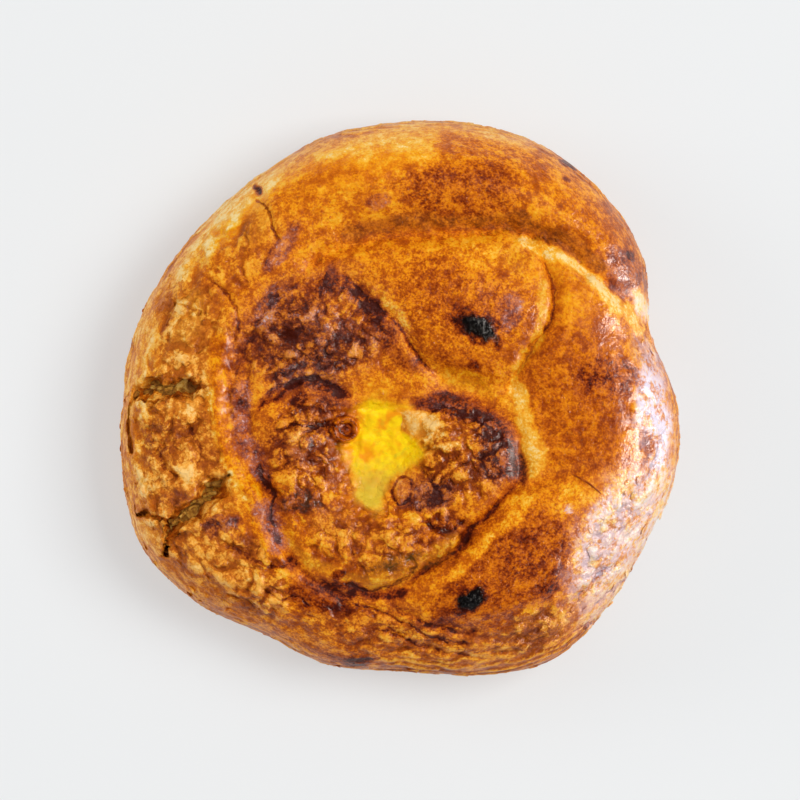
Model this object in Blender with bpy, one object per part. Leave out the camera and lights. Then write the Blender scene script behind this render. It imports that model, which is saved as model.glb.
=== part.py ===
"""Cabbage puff pastry pie: one rope of puff pastry, filled with cabbage, coiled up and baked.

Three solids: the pastry coil, the cabbage filling that runs along inside it and shows in two cracks on the
left, and the set egg that fills the small pit in the middle. Origin at the centre of the underside, +Z up.
"""

import itertools
import math

import bmesh
import bpy
import numpy as np
from mathutils import Vector
from mathutils.geometry import delaunay_2d_cdt

MM = 0.001

# ---------------------------------------------------------------- driving sizes, in millimetres
OUTLINE_STEP = 15.0  # degrees between the outline's radii, anticlockwise from +X
OUTLINE = (
    68, 64, 70, 72.5, 73, 71.5, 69.5, 68.5, 66.5, 66, 67, 68.5,
    69.5, 72, 74.5, 72, 68, 69, 68, 71.5, 75.5, 73.5, 70.5, 70.5,
)
PLATEAU = 35.0  # height of the coil's top before its lobes swell
WIDEST_HEIGHT = 14.0  # height at which the side bulges out furthest
SHOULDER = 0.27  # share of the radius over which the top rounds down to the side
SHOULDER_SWING = 0.05  # wider by this towards the front right, narrower behind
SHOULDER_TURN = -70.0  # degrees, where the shoulder is widest
TUCK = 0.11  # share of the radius by which the side tucks in under the pie
GAP = 0.3  # clearance between touching solids

TOP_CELLS = 48  # cells across the top, a multiple of 8 so that the underside can halve its rings
SIDE_ROWS = 7  # rows of faces down the tucked side
RIM_CROWDING = 1.25  # radians of a sine that crowds the rows towards the rim
UNDERSIDE_STEP = 0.72  # size of each ring of the underside, as a share of the one round it
SEAM_STEP = 2.0  # distance between the points along a seam
SEAM_ROWS = ((0.0, 1.2), (1.1, 1.0), (2.7, 1.5))  # rows of points along a seam: distance, least spacing
SEAM_REACH = 0.97  # share of the radius beyond which the seams have no rows of their own
GRID_SPACING = 1.9  # least distance from the grid's points to those of the seams

# Lobes that stand above or dip below the plateau: x, y, half-length, half-width, turn in degrees, height
LOBES = {
    "upper petal": (15, 22, 17, 12, -12, 4.6),
    "right petal": (47, 6, 11, 21, 12, 2.6),
    "lower petal": (32, -38, 22, 10, 38, 4.0),
    "back of the coil": (8, 56, 32, 8, -4, 2.2),
    "left side of the coil": (-54, -6, 12, 34, 0, -1.6),
    "front of the coil": (-8, -58, 26, 8, -4, -2.6),
    "dark fold": (-20, 15, 12, 9, 20, 2.0),
    "knob": (17, -14, 11, 10, 0, 3.6),
    "knob, left": (-26, -15, 8, 11, 0, 2.4),
    "knob, front": (-6, -35, 15, 7, -10, 2.0),
    "pit": (-5, -12, 8, 10, 0, -4.0),
    "valley": (17, 3, 9, 3, -15, -2.4),
}

# Raised lips and wrinkles: points, height and half-width
RIDGES = {
    "inner lip of the coil": (
        ((-38, 29), (-43, 17), (-45.5, 8.5), (-46, 0), (-44.5, -10.5), (-40, -17.5), (-37, -23.5),
         (-34, -30.5), (-31, -37.5), (-27, -43.5), (-21.5, -48)),
        1.3, 2.4),
    "flap beside the egg": (((0.5, -3), (4.5, -6.5), (8, -10.5)), 1.0, 1.6),
    "wrinkle below the egg": (((-3, -26), (-2, -34), (4, -39)), 0.7, 1.8),
    "wrinkle of the front": (((-1, -52), (5, -57), (14, -61.5), (26, -62)), 0.9, 1.8),
    "edge of the lower petal": (((10, -52), (20, -53), (31, -50), (39, -45), (44, -37)), 0.8, 2.2),
    "wrinkle of the left side": (((-58, 12), (-55, 22), (-49, 33), (-42, 42)), 0.8, 2.6),
    "crease of the front left": (((-50, -38), (-42, -46), (-31, -54), (-22, -58)), 0.9, 2.4),
}

# Seams where one turn of dough meets the next: points, depth at start and end, width left and right of travel
SEAMS = {
    "coil and petals": (
        ((-19.5, 33), (-14, 37.5), (-7, 39.5), (2.5, 40.5), (12.5, 41), (22.5, 41.5), (29, 41),
         (36.5, 39), (44, 35.5), (50, 30), (55.5, 25), (61.5, 19.5), (70, 12)),
        5.4, 10.0, 11.0, 5.0),
    "upper and right petal": (
        ((29, 41), (35.5, 36), (37.5, 30.5), (38, 26), (37, 21), (35.5, 16), (32.5, 10.5), (27.5, 3.5)),
        3.6, 5.5, 5.0, 7.0),
    "upper petal and dark fold": (
        ((-16, 31), (-8.5, 26), (-4.5, 22.5), (-1.5, 19), (2, 15), (4.5, 11), (6.5, 8), (9, 5.5)),
        2.2, 3.8, 7.0, 3.0),
    "knob, back": (
        ((2.5, -1.5), (6, 1.5), (11, 2), (16, 0), (21.5, -3), (26, -6), (29, -10), (30, -15.5),
         (29.5, -20.5)),
        2.0, 5.5, 6.0, 5.0),
    "knob, front": (
        ((29.5, -20.5), (25, -26), (20, -31), (15.5, -35.5), (10, -40), (4, -44), (-2, -47)),
        6.5, 5.0, 8.0, 7.0),
    "coil and knob": (
        ((-19.5, 33), (-25, 28.5), (-30.5, 24.5), (-34.5, 20), (-37, 14.5), (-38, 8.5), (-38, 2.5),
         (-38, -5), (-36.5, -12), (-34.5, -19), (-33, -25), (-30.5, -33.5), (-27, -39.5),
         (-22.5, -44), (-16, -46.5), (-9.5, -47.5), (-2, -47)),
        4.6, 5.4, 5.5, 9.0),
    "slit in the dark fold": (
        ((-36.5, -4), (-33.5, -0.5), (-30, 2), (-25, 3.5), (-19.5, 3.5), (-14, 0)),
        2.2, 2.2, 2.0, 3.5),
    "right and lower petal": (
        ((29.5, -21), (34, -20), (38.5, -19.5), (43.5, -18.5), (50, -16.5)),
        5.0, 0.5, 7.0, 5.0),
    "under the lower petal": (
        ((-2.5, -47.5), (0.5, -51.5), (4, -53.5), (9, -56.5), (14, -58.5), (20, -60)),
        2.6, 0.6, 3.5, 2.5),
}

# Cracks that open down to the filling: points along the crack and its half-width at each
CRACKS = {
    "upper crack": (
        ((-66, 0.5), (-63, 2), (-60.5, 3), (-58, 2.5), (-55.5, 3), (-52.5, 3.5), (-49.5, 3)),
        (0.25, 1.5, 1.9, 1.6, 0.8, 1.0, 0.2)),
    "lower crack": (
        ((-43, -18.5), (-46.5, -21.5), (-49, -25), (-52.5, -27.5), (-55.5, -30), (-57.5, -33), (-57.5, -39)),
        (0.2, 1.5, 1.3, 1.9, 1.5, 1.2, 0.2)),
}
CRACK_TOP = 50.0
CRACK_FLOOR = 22.0
CRACK_TIP = 0.2  # half-width at the ends
CRACK_RAGGED = 0.22  # share of its width by which an edge wanders in and out

# The opening in the middle, read from above, and how far the set egg goes down in it
EGG_OUTLINE = (
    (-9.5, -2), (-4, -1), (1, -2.5), (0.5, -7.5), (4, -12.5), (1, -16.5), (-3.5, -19.5),
    (-5, -24.5), (-8.5, -25), (-10, -19.5), (-12.5, -13.5), (-10.5, -7.5),
)
EGG_DEPTH = 5.0
EGG_BELOW_RIM = 0.4
PIT_SCALE = 1.06  # size of the pit round the egg
EGG_DISH = 0.7  # how much lower its middle lies

# The filling's path inside the rope of dough: direction in degrees, distance from the middle, radius
FILLING_PATH = (
    (40, 62, 3.5), (58, 60, 7), (90, 55, 9.5), (120, 52.5, 9.5), (150, 53.5, 9), (180, 54, 10.5),
    (210, 57, 10.5), (238, 57.5, 6.5), (270, 57.5, 6.5), (300, 57, 10), (330, 53, 10.5), (360, 49.5, 9.5),
    (382, 47, 6), (400, 40, 4.5), (426, 26, 7.5), (470, 24, 7), (530, 25, 6.5), (570, 28, 7), (600, 31, 7),
    (630, 31, 6.5), (658, 26, 5.5),
)
FILLING_HEIGHT = 18.5
FILLING_SIDES = 10
FILLING_STEPS = 3  # rings of the tube for each point of its path
SHRED = (3.0, 0.8, 0.7)  # length, width and thickness of a cabbage shred
SHRED_ROOM = 1.25  # a shred lies only where its crack's half-width is more than this
SHRED_EVERY = 4  # points along the crack from one shred to the next
SHRED_SEED = 11

# Charred blisters: x, y, half-length, half-width, turn in degrees, height
BLISTERS = {"upper petal": (19, 18, 3.2, 1.5, -28, 0.9), "lower petal": (17.5, -49.5, 2.9, 1.8, 35, 0.9)}
RING_BUBBLE = (-13.5, -7.5, 2.7)  # burst bubble: x, y, radius of its ring
RING_HEIGHT, RING_THICKNESS = 0.8, 0.9

# Baked relief along the surface: lump size and height. It fades out towards the floor and is roughest where
# the dough is flaky, on the left side and on the knob.
DENTS = ((17.0, 1.0), (9.0, 0.6))
CRUMPLE_SIZE, CRUMPLE_DEPTH, CRUMPLE_SEED = 6.5, 1.8, 3
FLAKE_SIZE, FLAKE_DEPTH, FLAKE_SEED = 4.0, 0.5, 4
LAYER_PITCH = 6.5  # height of one of the broad layers that show round the side
LAYER_DEPTH, LAYER_WAVE, LAYER_WAVE_SIZE, LAYER_SEED = 1.3, 1.8, 16.0, 5
LAYERS_TURN = -60.0  # degrees, where the layers stand out most
LAYERS_BEHIND = 0.35  # share of their depth on the far side
LAYERS_SPREAD = (-0.2, 0.6)  # cosines of the turn between which they grow to their full depth
LAYERS_REACH = (0.78, 0.92)  # shares of the radius between which they set in
LEAST_HEIGHT = 0.05  # of the side's points, which stay above the flat underside
FLOOR_FADE = (0.5, 5.0)  # heights between which the relief sets in
FLAKY_LEFT = (25.0, 45.0)  # distances left of the middle between which the coil turns flaky
FLAKY_FRONT = (50.0, 30.0)  # distances behind the middle between which it does so too
FLAKY_KNOB = (-5.0, -18.0, 36.0, 26.0)  # the knob's middle, and where its flakes set in and are full
KNOB_FLAKES = 0.8  # share of the left side's flakes

COLOURS = {"crust": (0.62, 0.27, 0.06), "cabbage": (0.34, 0.27, 0.07), "egg": (0.93, 0.62, 0.02)}


# ---------------------------------------------------------------- curves and noise
def smooth_line(points, steps=5, closed=False):
    """A Catmull-Rom curve through the points, as an array of closely spaced points."""
    knots = np.array(points, float)
    count = len(knots)
    spans = count if closed else count - 1
    t = np.linspace(0, 1, steps, endpoint=False)[:, None]
    pieces = []
    for i in range(spans):
        around = [(i + k) % count if closed else min(max(i + k, 0), count - 1) for k in (-1, 0, 1, 2)]
        a, b, c, d = knots[around]
        pieces.append(b + 0.5 * t * (c - a + t * (2 * a - 5 * b + 4 * c - d + t * (3 * (b - c) + d - a))))
    if not closed:
        pieces.append(knots[-1:])
    return np.concatenate(pieces)


def near_line(xy, line):
    """For each point: its distance from the line, the side it is on, +1 left of travel, and how far along."""
    runs = np.diff(line, axis=0)
    lengths = np.linalg.norm(runs, axis=1)
    before = np.concatenate([[0], np.cumsum(lengths)])
    nearest = np.full(len(xy), np.inf)
    side, along = np.ones(len(xy)), np.zeros(len(xy))
    for start, run, length, passed in zip(line[:-1], runs, lengths, before):
        offset = xy - start
        share = np.clip(offset @ run / length**2, 0, 1)
        distance = np.linalg.norm(offset - share[:, None] * run, axis=1)
        closer = distance < nearest
        nearest[closer] = distance[closer]
        turned = run[0] * offset[:, 1] - run[1] * offset[:, 0]
        side[closer] = np.where(turned[closer] >= 0, 1.0, -1.0)
        along[closer] = (passed + share[closer] * length) / before[-1]
    return nearest, side, along


def noise(points, size, seed):
    """Smooth noise from -1 to 1 whose lumps are about size millimetres across."""
    cells = 32
    lattice = np.random.default_rng(seed).uniform(-1, 1, (cells,) * 3)
    place = points / size
    low = np.floor(place).astype(int)
    part = place - low
    part = part * part * (3 - 2 * part)
    total = np.zeros(len(points))
    for corner in itertools.product((0, 1), repeat=3):
        weight = np.prod(np.where(corner, part, 1 - part), axis=1)
        total += weight * lattice[tuple(((low + corner) % cells).T)]
    return total


def fade(value, low, high):
    """0 below low, 1 above high and a smooth step between."""
    t = np.clip((value - low) / (high - low), 0, 1)
    return t * t * (3 - 2 * t)


# ---------------------------------------------------------------- the pastry's form
def outline_radius(angle):
    """Radius of the widest outline, in millimetres, in the direction angle, in radians."""
    ring = np.array(OUTLINE)
    place = np.degrees(angle) % 360 / OUTLINE_STEP
    i = np.floor(place).astype(int)
    t = place - i
    a, b, c, d = (ring[(i + k) % len(ring)] for k in (-1, 0, 1, 2))
    return b + 0.5 * t * (c - a + t * (2 * a - 5 * b + 4 * c - d + t * (3 * (b - c) + d - a)))


def share_of_radius(xy):
    """How far out each point lies: 0 in the middle, 1 on the widest outline."""
    return np.hypot(xy[..., 0], xy[..., 1]) / outline_radius(np.arctan2(xy[..., 1], xy[..., 0]))


def swell(xy, lobe):
    """A rounded hill or hollow of the top."""
    x, y, half_length, half_width, turn, height = lobe
    away = xy - (x, y)
    c, s = math.cos(math.radians(turn)), math.sin(math.radians(turn))
    u = (away[:, 0] * c + away[:, 1] * s) / half_length
    v = (away[:, 1] * c - away[:, 0] * s) / half_width
    return height * np.exp(-0.5 * (u * u + v * v) ** 1.5)


def seam_depth(xy):
    """How far the seams cut down at each point: the lobe on each side of a seam rounds down into it."""
    deepest = np.zeros(len(xy))
    for points, depth_start, depth_end, width_left, width_right in SEAMS.values():
        distance, side, along = near_line(xy, smooth_line(points))
        width = np.where(side > 0, width_left, width_right)
        reach = np.clip(1 - distance / width, 0, 1)
        depth = depth_start + (depth_end - depth_start) * along
        deepest = np.maximum(deepest, depth * (1 - np.sqrt(1 - reach**2)))
    return deepest


def ridge_height(xy):
    """How far the raised lips and wrinkles stand up, fading out at both ends."""
    raised = np.zeros(len(xy))
    for points, height, half_width in RIDGES.values():
        distance, _, along = near_line(xy, smooth_line(points))
        ends = fade(along, 0, 0.2) * (1 - fade(along, 0.8, 1))
        raised += height * ends * np.exp(-((distance / half_width) ** 2))
    return raised


def flakiness(xy):
    """0 on the smooth glazed lobes, 1 on the rough, flaky left side and knob."""
    left = fade(-xy[:, 0], *FLAKY_LEFT) * (1 - fade(xy[:, 1], *reversed(FLAKY_FRONT)))
    x, y, outer, inner = FLAKY_KNOB
    knob = KNOB_FLAKES * (1 - fade(np.hypot(xy[:, 0] - x, xy[:, 1] - y), inner, outer))
    return np.maximum(left, knob)


def relief(points):
    """Baked relief along the normal: broad dents, crumpled flakes and the layered edge of the side."""
    xy = points[:, :2]
    rough = flakiness(xy)
    broad = sum(height * noise(points, size, seed) for seed, (size, height) in enumerate(DENTS))
    crumpled = CRUMPLE_DEPTH * (0.4 - np.abs(noise(points, CRUMPLE_SIZE, CRUMPLE_SEED)))
    flaked = FLAKE_DEPTH * noise(points, FLAKE_SIZE, FLAKE_SEED)
    wavy = points[:, 2] + LAYER_WAVE * noise(points, LAYER_WAVE_SIZE, LAYER_SEED)
    layered = LAYER_DEPTH * (0.6 - np.abs(np.sin(wavy * math.pi / LAYER_PITCH)))
    ahead = fade(np.cos(np.arctan2(xy[:, 1], xy[:, 0]) - math.radians(LAYERS_TURN)), *LAYERS_SPREAD)
    side = fade(share_of_radius(xy), *LAYERS_REACH) * (LAYERS_BEHIND + (1 - LAYERS_BEHIND) * ahead)
    return fade(points[:, 2], *FLOOR_FADE) * (
        (1 - 0.3 * rough) * broad + rough * (crumpled + flaked) + side * layered
    )


def top_height(xy):
    """Height of the top above the floor, before the relief."""
    angle = np.arctan2(xy[:, 1], xy[:, 0])
    reach = share_of_radius(xy)
    shoulder = SHOULDER + SHOULDER_SWING * np.cos(angle - math.radians(SHOULDER_TURN))
    crown = PLATEAU + sum(swell(xy, lobe) for lobe in LOBES.values()) + ridge_height(xy) - seam_depth(xy)
    over = np.clip((reach - (1 - shoulder)) / shoulder, 0, 1)
    height = WIDEST_HEIGHT + (crown - WIDEST_HEIGHT) * np.sqrt(1 - over**2)
    height += sum(swell(xy, blister) for blister in BLISTERS.values())
    x, y, radius = RING_BUBBLE
    from_ring = np.hypot(xy[:, 0] - x, xy[:, 1] - y) - radius
    return height + RING_HEIGHT * np.exp(-((from_ring / RING_THICKNESS) ** 2))


# ---------------------------------------------------------------- meshes
def disc_grid(cells):
    """Points of a square grid wrapped onto the unit disc and crowded towards its rim, and the rim's indices."""
    u, v = np.meshgrid(np.linspace(-1, 1, cells + 1), np.linspace(-1, 1, cells + 1))
    u, v = u.ravel(), v.ravel()
    wide = np.abs(u) > np.abs(v)
    ring = np.where(wide, u, v)
    ratio = np.where(wide, v, u) / np.where(ring == 0, 1, ring)
    angle = np.where(wide, math.pi / 4 * ratio, math.pi / 2 - math.pi / 4 * ratio)
    reach = np.sin(RIM_CROWDING * ring) / math.sin(RIM_CROWDING)
    row = cells + 1
    rim = (
        [i for i in range(cells)] + [j * row + cells for j in range(cells)]
        + [cells * row + cells - i for i in range(cells)] + [(cells - j) * row for j in range(cells)]
    )
    return np.stack([reach * np.cos(angle), reach * np.sin(angle)], axis=1), rim


def evenly(line, step):
    """Points a fixed step apart along a line."""
    before = np.concatenate([[0], np.cumsum(np.linalg.norm(np.diff(line, axis=0), axis=1))])
    stops = np.linspace(0, before[-1], max(2, round(before[-1] / step) + 1))
    return np.column_stack([np.interp(stops, before, line[:, k]) for k in (0, 1)])


def asides(line):
    """Unit vectors to the left of a line, one for each of its points."""
    heading = np.gradient(line, axis=0)
    heading /= np.linalg.norm(heading, axis=1)[:, None]
    return np.column_stack([-heading[:, 1], heading[:, 0]])


def rows_along_seams(rim_points):
    """The rim's points and rows of points beside every seam, none too near another, and the rows' edges."""
    kept = list(rim_points)
    edges = []
    for distance, spacing in SEAM_ROWS:
        for points, *_ in SEAMS.values():
            line = evenly(smooth_line(points), SEAM_STEP)
            for way in (1, -1) if distance else (1,):
                before = None
                for spot in line + way * distance * asides(line):
                    clear = np.linalg.norm(np.array(kept) - spot, axis=1).min() > spacing
                    if clear and share_of_radius(spot) < SEAM_REACH:
                        kept.append(spot)
                        if before is not None:
                            edges.append((before, len(kept) - 1))
                        before = len(kept) - 1
                    else:
                        before = None
    return np.array(kept), edges


def top_triangles(cells):
    """The top seen from above: points whose rows follow the seams, triangles, and the indices of the rim."""
    disc, rim = disc_grid(cells)
    grid = disc * outline_radius(np.arctan2(disc[:, 1], disc[:, 0]))[:, None]
    rows, edges = rows_along_seams(grid[rim])
    inner = np.delete(grid, rim, axis=0)
    from_seams = np.linalg.norm(inner[:, None] - rows[None, len(rim):], axis=2).min(axis=1)
    xy = np.vstack([rows, inner[from_seams > GRID_SPACING]])
    edges += [(i, (i + 1) % len(rim)) for i in range(len(rim))]
    outline = outline_radius(np.arctan2(xy[:, 1], xy[:, 0]))[:, None]
    spots, _, faces, sources, *_ = delaunay_2d_cdt([Vector(p) for p in xy / outline], edges, [], 0, 1e-6)
    spots = np.array(spots)[:, :2]
    spots *= outline_radius(np.arctan2(spots[:, 1], spots[:, 0]))[:, None]
    place = {source[0]: i for i, source in enumerate(sources) if source}
    return spots, [tuple(face) for face in faces], [place[i] for i in range(len(rim))]


def pastry_mesh(cells, rows):
    """The whole outer skin of the pie: top, side and underside, as points in millimetres and faces."""
    xy, faces, rim = top_triangles(cells)
    points = [np.column_stack([xy, top_height(xy)])]
    last, total = list(rim), len(xy)
    edge = xy[rim]
    for j in range(1, rows + 1):
        turn = math.pi / 2 * j / rows
        ring = edge * (1 - TUCK * (1 - math.cos(turn)))
        height = np.full(len(ring), WIDEST_HEIGHT * (1 - math.sin(turn)))
        points.append(np.column_stack([ring, height]))
        new = list(range(total, total + len(ring)))
        faces += [(last[i - 1], new[i - 1], new[i], last[i]) for i in range(len(ring))]
        last, total = new, total + len(ring)
    share = 1 - TUCK
    while len(last) > 16:  # the flat underside: rings with half as many points each time
        share *= UNDERSIDE_STEP
        halved = edge[:: len(edge) // (len(last) // 2)][: len(last) // 2] * share
        points.append(np.column_stack([halved, np.zeros(len(halved))]))
        new = list(range(total, total + len(halved)))
        for i in range(len(new)):
            a, b, c = last[2 * i], last[2 * i + 1], last[(2 * i + 2) % len(last)]
            faces += [(a, new[i], b), (b, new[i], new[(i + 1) % len(new)]), (b, new[(i + 1) % len(new)], c)]
        last, total = new, total + len(new)
    points.append(np.zeros((1, 3)))
    faces += [(last[i - 1], total, last[i]) for i in range(len(last))]
    return np.concatenate(points), faces


def mesh_object(name, points, faces, colour, roughness):
    """A mesh object from points in millimetres, with its own material."""
    mesh = bpy.data.meshes.new(name)
    mesh.from_pydata((points * MM).tolist(), [], faces)
    mesh.validate()
    obj = bpy.data.objects.new(name, mesh)
    bpy.context.scene.collection.objects.link(obj)
    material = bpy.data.materials.new(name)
    material.use_nodes = True
    shader = material.node_tree.nodes["Principled BSDF"]
    shader.inputs["Base Color"].default_value = (*colour, 1)
    shader.inputs["Roughness"].default_value = roughness
    mesh.materials.append(material)
    mesh.shade_smooth()
    return obj


def push_out(obj):
    """Moves each point of the skin along its normal by the baked relief."""
    mesh = obj.data
    points = np.array([v.co for v in mesh.vertices]) / MM
    normals = np.array([n.vector for n in mesh.vertex_normals])
    moved = points + normals * relief(points)[:, None]
    moved[:, 2] = np.where(points[:, 2] <= 0, 0, np.maximum(moved[:, 2], LEAST_HEIGHT))
    mesh.vertices.foreach_set("co", (moved * MM).ravel())
    mesh.update()


def tube(path, radii, sides, height):
    """A closed tube of upright rings along a level path, as points and faces."""
    across = asides(path)
    turns = np.arange(sides) * 2 * math.pi / sides
    rings = [
        np.column_stack([
            spot[0] + aside[0] * radius * np.cos(turns),
            spot[1] + aside[1] * radius * np.cos(turns),
            height + radius * np.sin(turns),
        ])
        for spot, aside, radius in zip(path, across, radii)
    ]
    faces = [
        (j * sides + i, j * sides + (i + 1) % sides, (j + 1) * sides + (i + 1) % sides, (j + 1) * sides + i)
        for j in range(len(rings) - 1) for i in range(sides)
    ]
    end = (len(rings) - 1) * sides
    faces += [tuple(reversed(range(sides))), tuple(end + i for i in range(sides))]
    return np.concatenate(rings), faces


def filling_line():
    """The middle of the coil of filling, seen from above, with its radius at each point."""
    around = np.radians([turn for turn, _, _ in FILLING_PATH])
    away = np.array([distance for _, distance, _ in FILLING_PATH])
    radii = [radius for _, _, radius in FILLING_PATH]
    return smooth_line(np.column_stack([np.cos(around) * away, np.sin(around) * away, radii]), FILLING_STEPS)


def filling_tube(extra, name):
    """The coil of filling, or the room for it, which is larger all round by extra."""
    line = filling_line()
    if extra:
        along = line[[0, -1], :2] - line[[1, -2], :2]
        line[[0, -1], :2] += along / np.linalg.norm(along, axis=1)[:, None] * extra
    points, faces = tube(line[:, :2], line[:, 2] + extra, FILLING_SIDES, FILLING_HEIGHT)
    return mesh_object(name, points, faces, COLOURS["cabbage"], 0.6)


def prism(name, outline, low, high, colour=COLOURS["crust"]):
    """An upright solid on a closed outline, with its top and bottom at heights that may vary round it."""
    count = len(outline)
    middle = outline.mean(0)
    low, high = np.broadcast_to(low, count + 1), np.broadcast_to(high, count + 1)
    flat = np.vstack([outline, middle])
    points = np.vstack([np.column_stack([flat, low]), np.column_stack([flat, high])])
    base, top = count, 2 * count + 1
    faces = []
    for i in range(count):
        k = (i + 1) % count
        faces += [(i, k, count + 1 + k, count + 1 + i), (k, i, base), (count + 1 + i, count + 1 + k, top)]
    return mesh_object(name, points, faces, colour, 0.6)


def crack_outline(points, widths):
    """The ragged outline of a crack, seen from above, anticlockwise."""
    line = smooth_line([(*p, w) for p, w in zip(points, widths)], steps=2)
    left = asides(line[:, :2])
    ragged = 1 + CRACK_RAGGED * np.cos(np.arange(len(line)) * 2.4)
    width = (np.maximum(line[:, 2], CRACK_TIP) * ragged)[:, None]
    return np.vstack([line[:, :2] - left * width, (line[:, :2] + left * width)[::-1]])


def boolean(obj, tool, operation):
    """Cuts or joins one object or a collection and applies the result."""
    modifier = obj.modifiers.new(operation, "BOOLEAN")
    modifier.operation = operation
    modifier.solver = "MANIFOLD"
    if isinstance(tool, bpy.types.Collection):
        modifier.operand_type = "COLLECTION"
        modifier.collection = tool
    else:
        modifier.object = tool
    with bpy.context.temp_override(object=obj, active_object=obj, selected_objects=[obj]):
        bpy.ops.object.modifier_apply(modifier=modifier.name)
    gone = list(tool.objects) if isinstance(tool, bpy.types.Collection) else [tool]
    for extra in gone:
        bpy.data.objects.remove(extra)


def shreds_on(filling):
    """Cabbage shreds that show where the cracks are widest, fused onto the coil of filling."""
    draw = np.random.default_rng(SHRED_SEED)
    bunch = bpy.data.collections.new("shreds")
    length, width, thickness = SHRED
    for points, widths in CRACKS.values():
        line = smooth_line([(*p, w) for p, w in zip(points, widths)], steps=6)
        heading = np.gradient(line[:, :2], axis=0)
        wide = [i for i in range(0, len(line), SHRED_EVERY) if line[i, 2] > SHRED_ROOM]
        for i in wide:
            turn = math.atan2(heading[i, 1], heading[i, 0]) + draw.uniform(-0.12, 0.12)
            height = FILLING_HEIGHT + filling_top(line[i, :2]) + draw.uniform(-0.1, 0.15)
            bm = bmesh.new()
            bmesh.ops.create_cube(bm, size=1)
            bmesh.ops.scale(bm, vec=(length * MM, width * MM, thickness * MM), verts=bm.verts)
            mesh = bpy.data.meshes.new("shred")
            bm.to_mesh(mesh)
            bm.free()
            shred = bpy.data.objects.new(f"shred_{len(bunch.objects)}", mesh)
            shred.location = Vector((line[i, 0], line[i, 1], height)) * MM
            shred.rotation_euler = (draw.uniform(-0.25, 0.25), draw.uniform(-0.12, 0.12), turn)
            bunch.objects.link(shred)
    bpy.context.scene.collection.children.link(bunch)
    boolean(filling, bunch, "UNION")
    bpy.data.collections.remove(bunch)


def filling_top(spot):
    """Height of the filling's round back above its own middle, over one spot, in millimetres."""
    line = filling_line()
    away = np.linalg.norm(line[:, :2] - spot, axis=1)
    radius = line[away.argmin(), 2]
    return math.sqrt(max(radius**2 - away.min() ** 2, 0))


# ---------------------------------------------------------------- the pie
for old in list(bpy.data.objects):
    bpy.data.objects.remove(old)

skin_points, skin_faces = pastry_mesh(TOP_CELLS, SIDE_ROWS)
pastry = mesh_object("pastry_coil", skin_points, skin_faces, COLOURS["crust"], 0.35)
push_out(pastry)
corners = np.array([v.co for v in pastry.data.vertices])
box_middle = (corners.min(0) + corners.max(0)) / 2

boolean(pastry, filling_tube(GAP, "room_for_filling"), "DIFFERENCE")
for crack_name, (crack_points, crack_widths) in CRACKS.items():
    crack_rim = crack_outline(crack_points, crack_widths)
    boolean(pastry, prism(crack_name, crack_rim, CRACK_FLOOR, CRACK_TOP), "DIFFERENCE")

egg_rim = smooth_line(EGG_OUTLINE, steps=2, closed=True)[::-1]
egg_middle = egg_rim.mean(0)
egg_top = top_height(np.vstack([egg_rim, egg_middle])) - EGG_BELOW_RIM
egg_top[-1] = egg_top.min() - EGG_DISH
egg_floor = egg_top.min() - EGG_DEPTH
pit_rim = egg_middle + (egg_rim - egg_middle) * PIT_SCALE
boolean(pastry, prism("egg_pit", pit_rim, egg_floor - GAP, CRACK_TOP), "DIFFERENCE")

egg = prism("set_egg", egg_rim, egg_floor, egg_top, COLOURS["egg"])
filling = filling_tube(0, "cabbage_filling")
shreds_on(filling)

for piece in (pastry, egg, filling):  # the pie's box is centred over the origin
    for vertex in piece.data.vertices:
        vertex.co.x -= box_middle[0]
        vertex.co.y -= box_middle[1]
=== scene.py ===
# %% [markdown]
# # A coiled cabbage pie in puff pastry
# The pie is one long rope of puff pastry, filled with cabbage and coiled up, then brushed with egg and
# baked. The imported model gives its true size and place. This script adds what the eye sees: the crust's
# folds, blisters, flakes and browning, the cabbage in the cracks and the set egg in the middle.

# %% Load the frame
import itertools
import math

import bpy
import numpy as np
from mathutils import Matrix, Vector


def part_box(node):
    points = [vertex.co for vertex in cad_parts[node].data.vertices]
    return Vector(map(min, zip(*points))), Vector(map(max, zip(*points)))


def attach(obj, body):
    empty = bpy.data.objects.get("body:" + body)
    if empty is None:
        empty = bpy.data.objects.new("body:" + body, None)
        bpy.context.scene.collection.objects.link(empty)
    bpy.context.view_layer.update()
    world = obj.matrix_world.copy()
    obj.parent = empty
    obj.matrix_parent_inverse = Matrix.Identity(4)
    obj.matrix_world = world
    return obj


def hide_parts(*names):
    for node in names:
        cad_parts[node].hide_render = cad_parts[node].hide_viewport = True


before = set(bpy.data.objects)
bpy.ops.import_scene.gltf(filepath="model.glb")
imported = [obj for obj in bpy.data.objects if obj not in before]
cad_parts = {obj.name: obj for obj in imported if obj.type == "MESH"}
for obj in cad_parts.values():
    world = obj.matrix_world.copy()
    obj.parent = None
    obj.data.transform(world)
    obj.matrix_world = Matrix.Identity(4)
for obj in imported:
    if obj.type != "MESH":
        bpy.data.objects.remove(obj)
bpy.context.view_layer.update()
MM = 0.001
print("nodes:", sorted(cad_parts))

# %% [markdown]
# ## Measures
# The same driving sizes as the solid's, in millimetres. The outline is a ring of radii, the turns of dough
# are lobes on a plateau, and the seams between them are lines that cut down. The solid was centred on its
# box after it was cut, so the distance that it moved is read back from where its egg lies.

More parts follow.
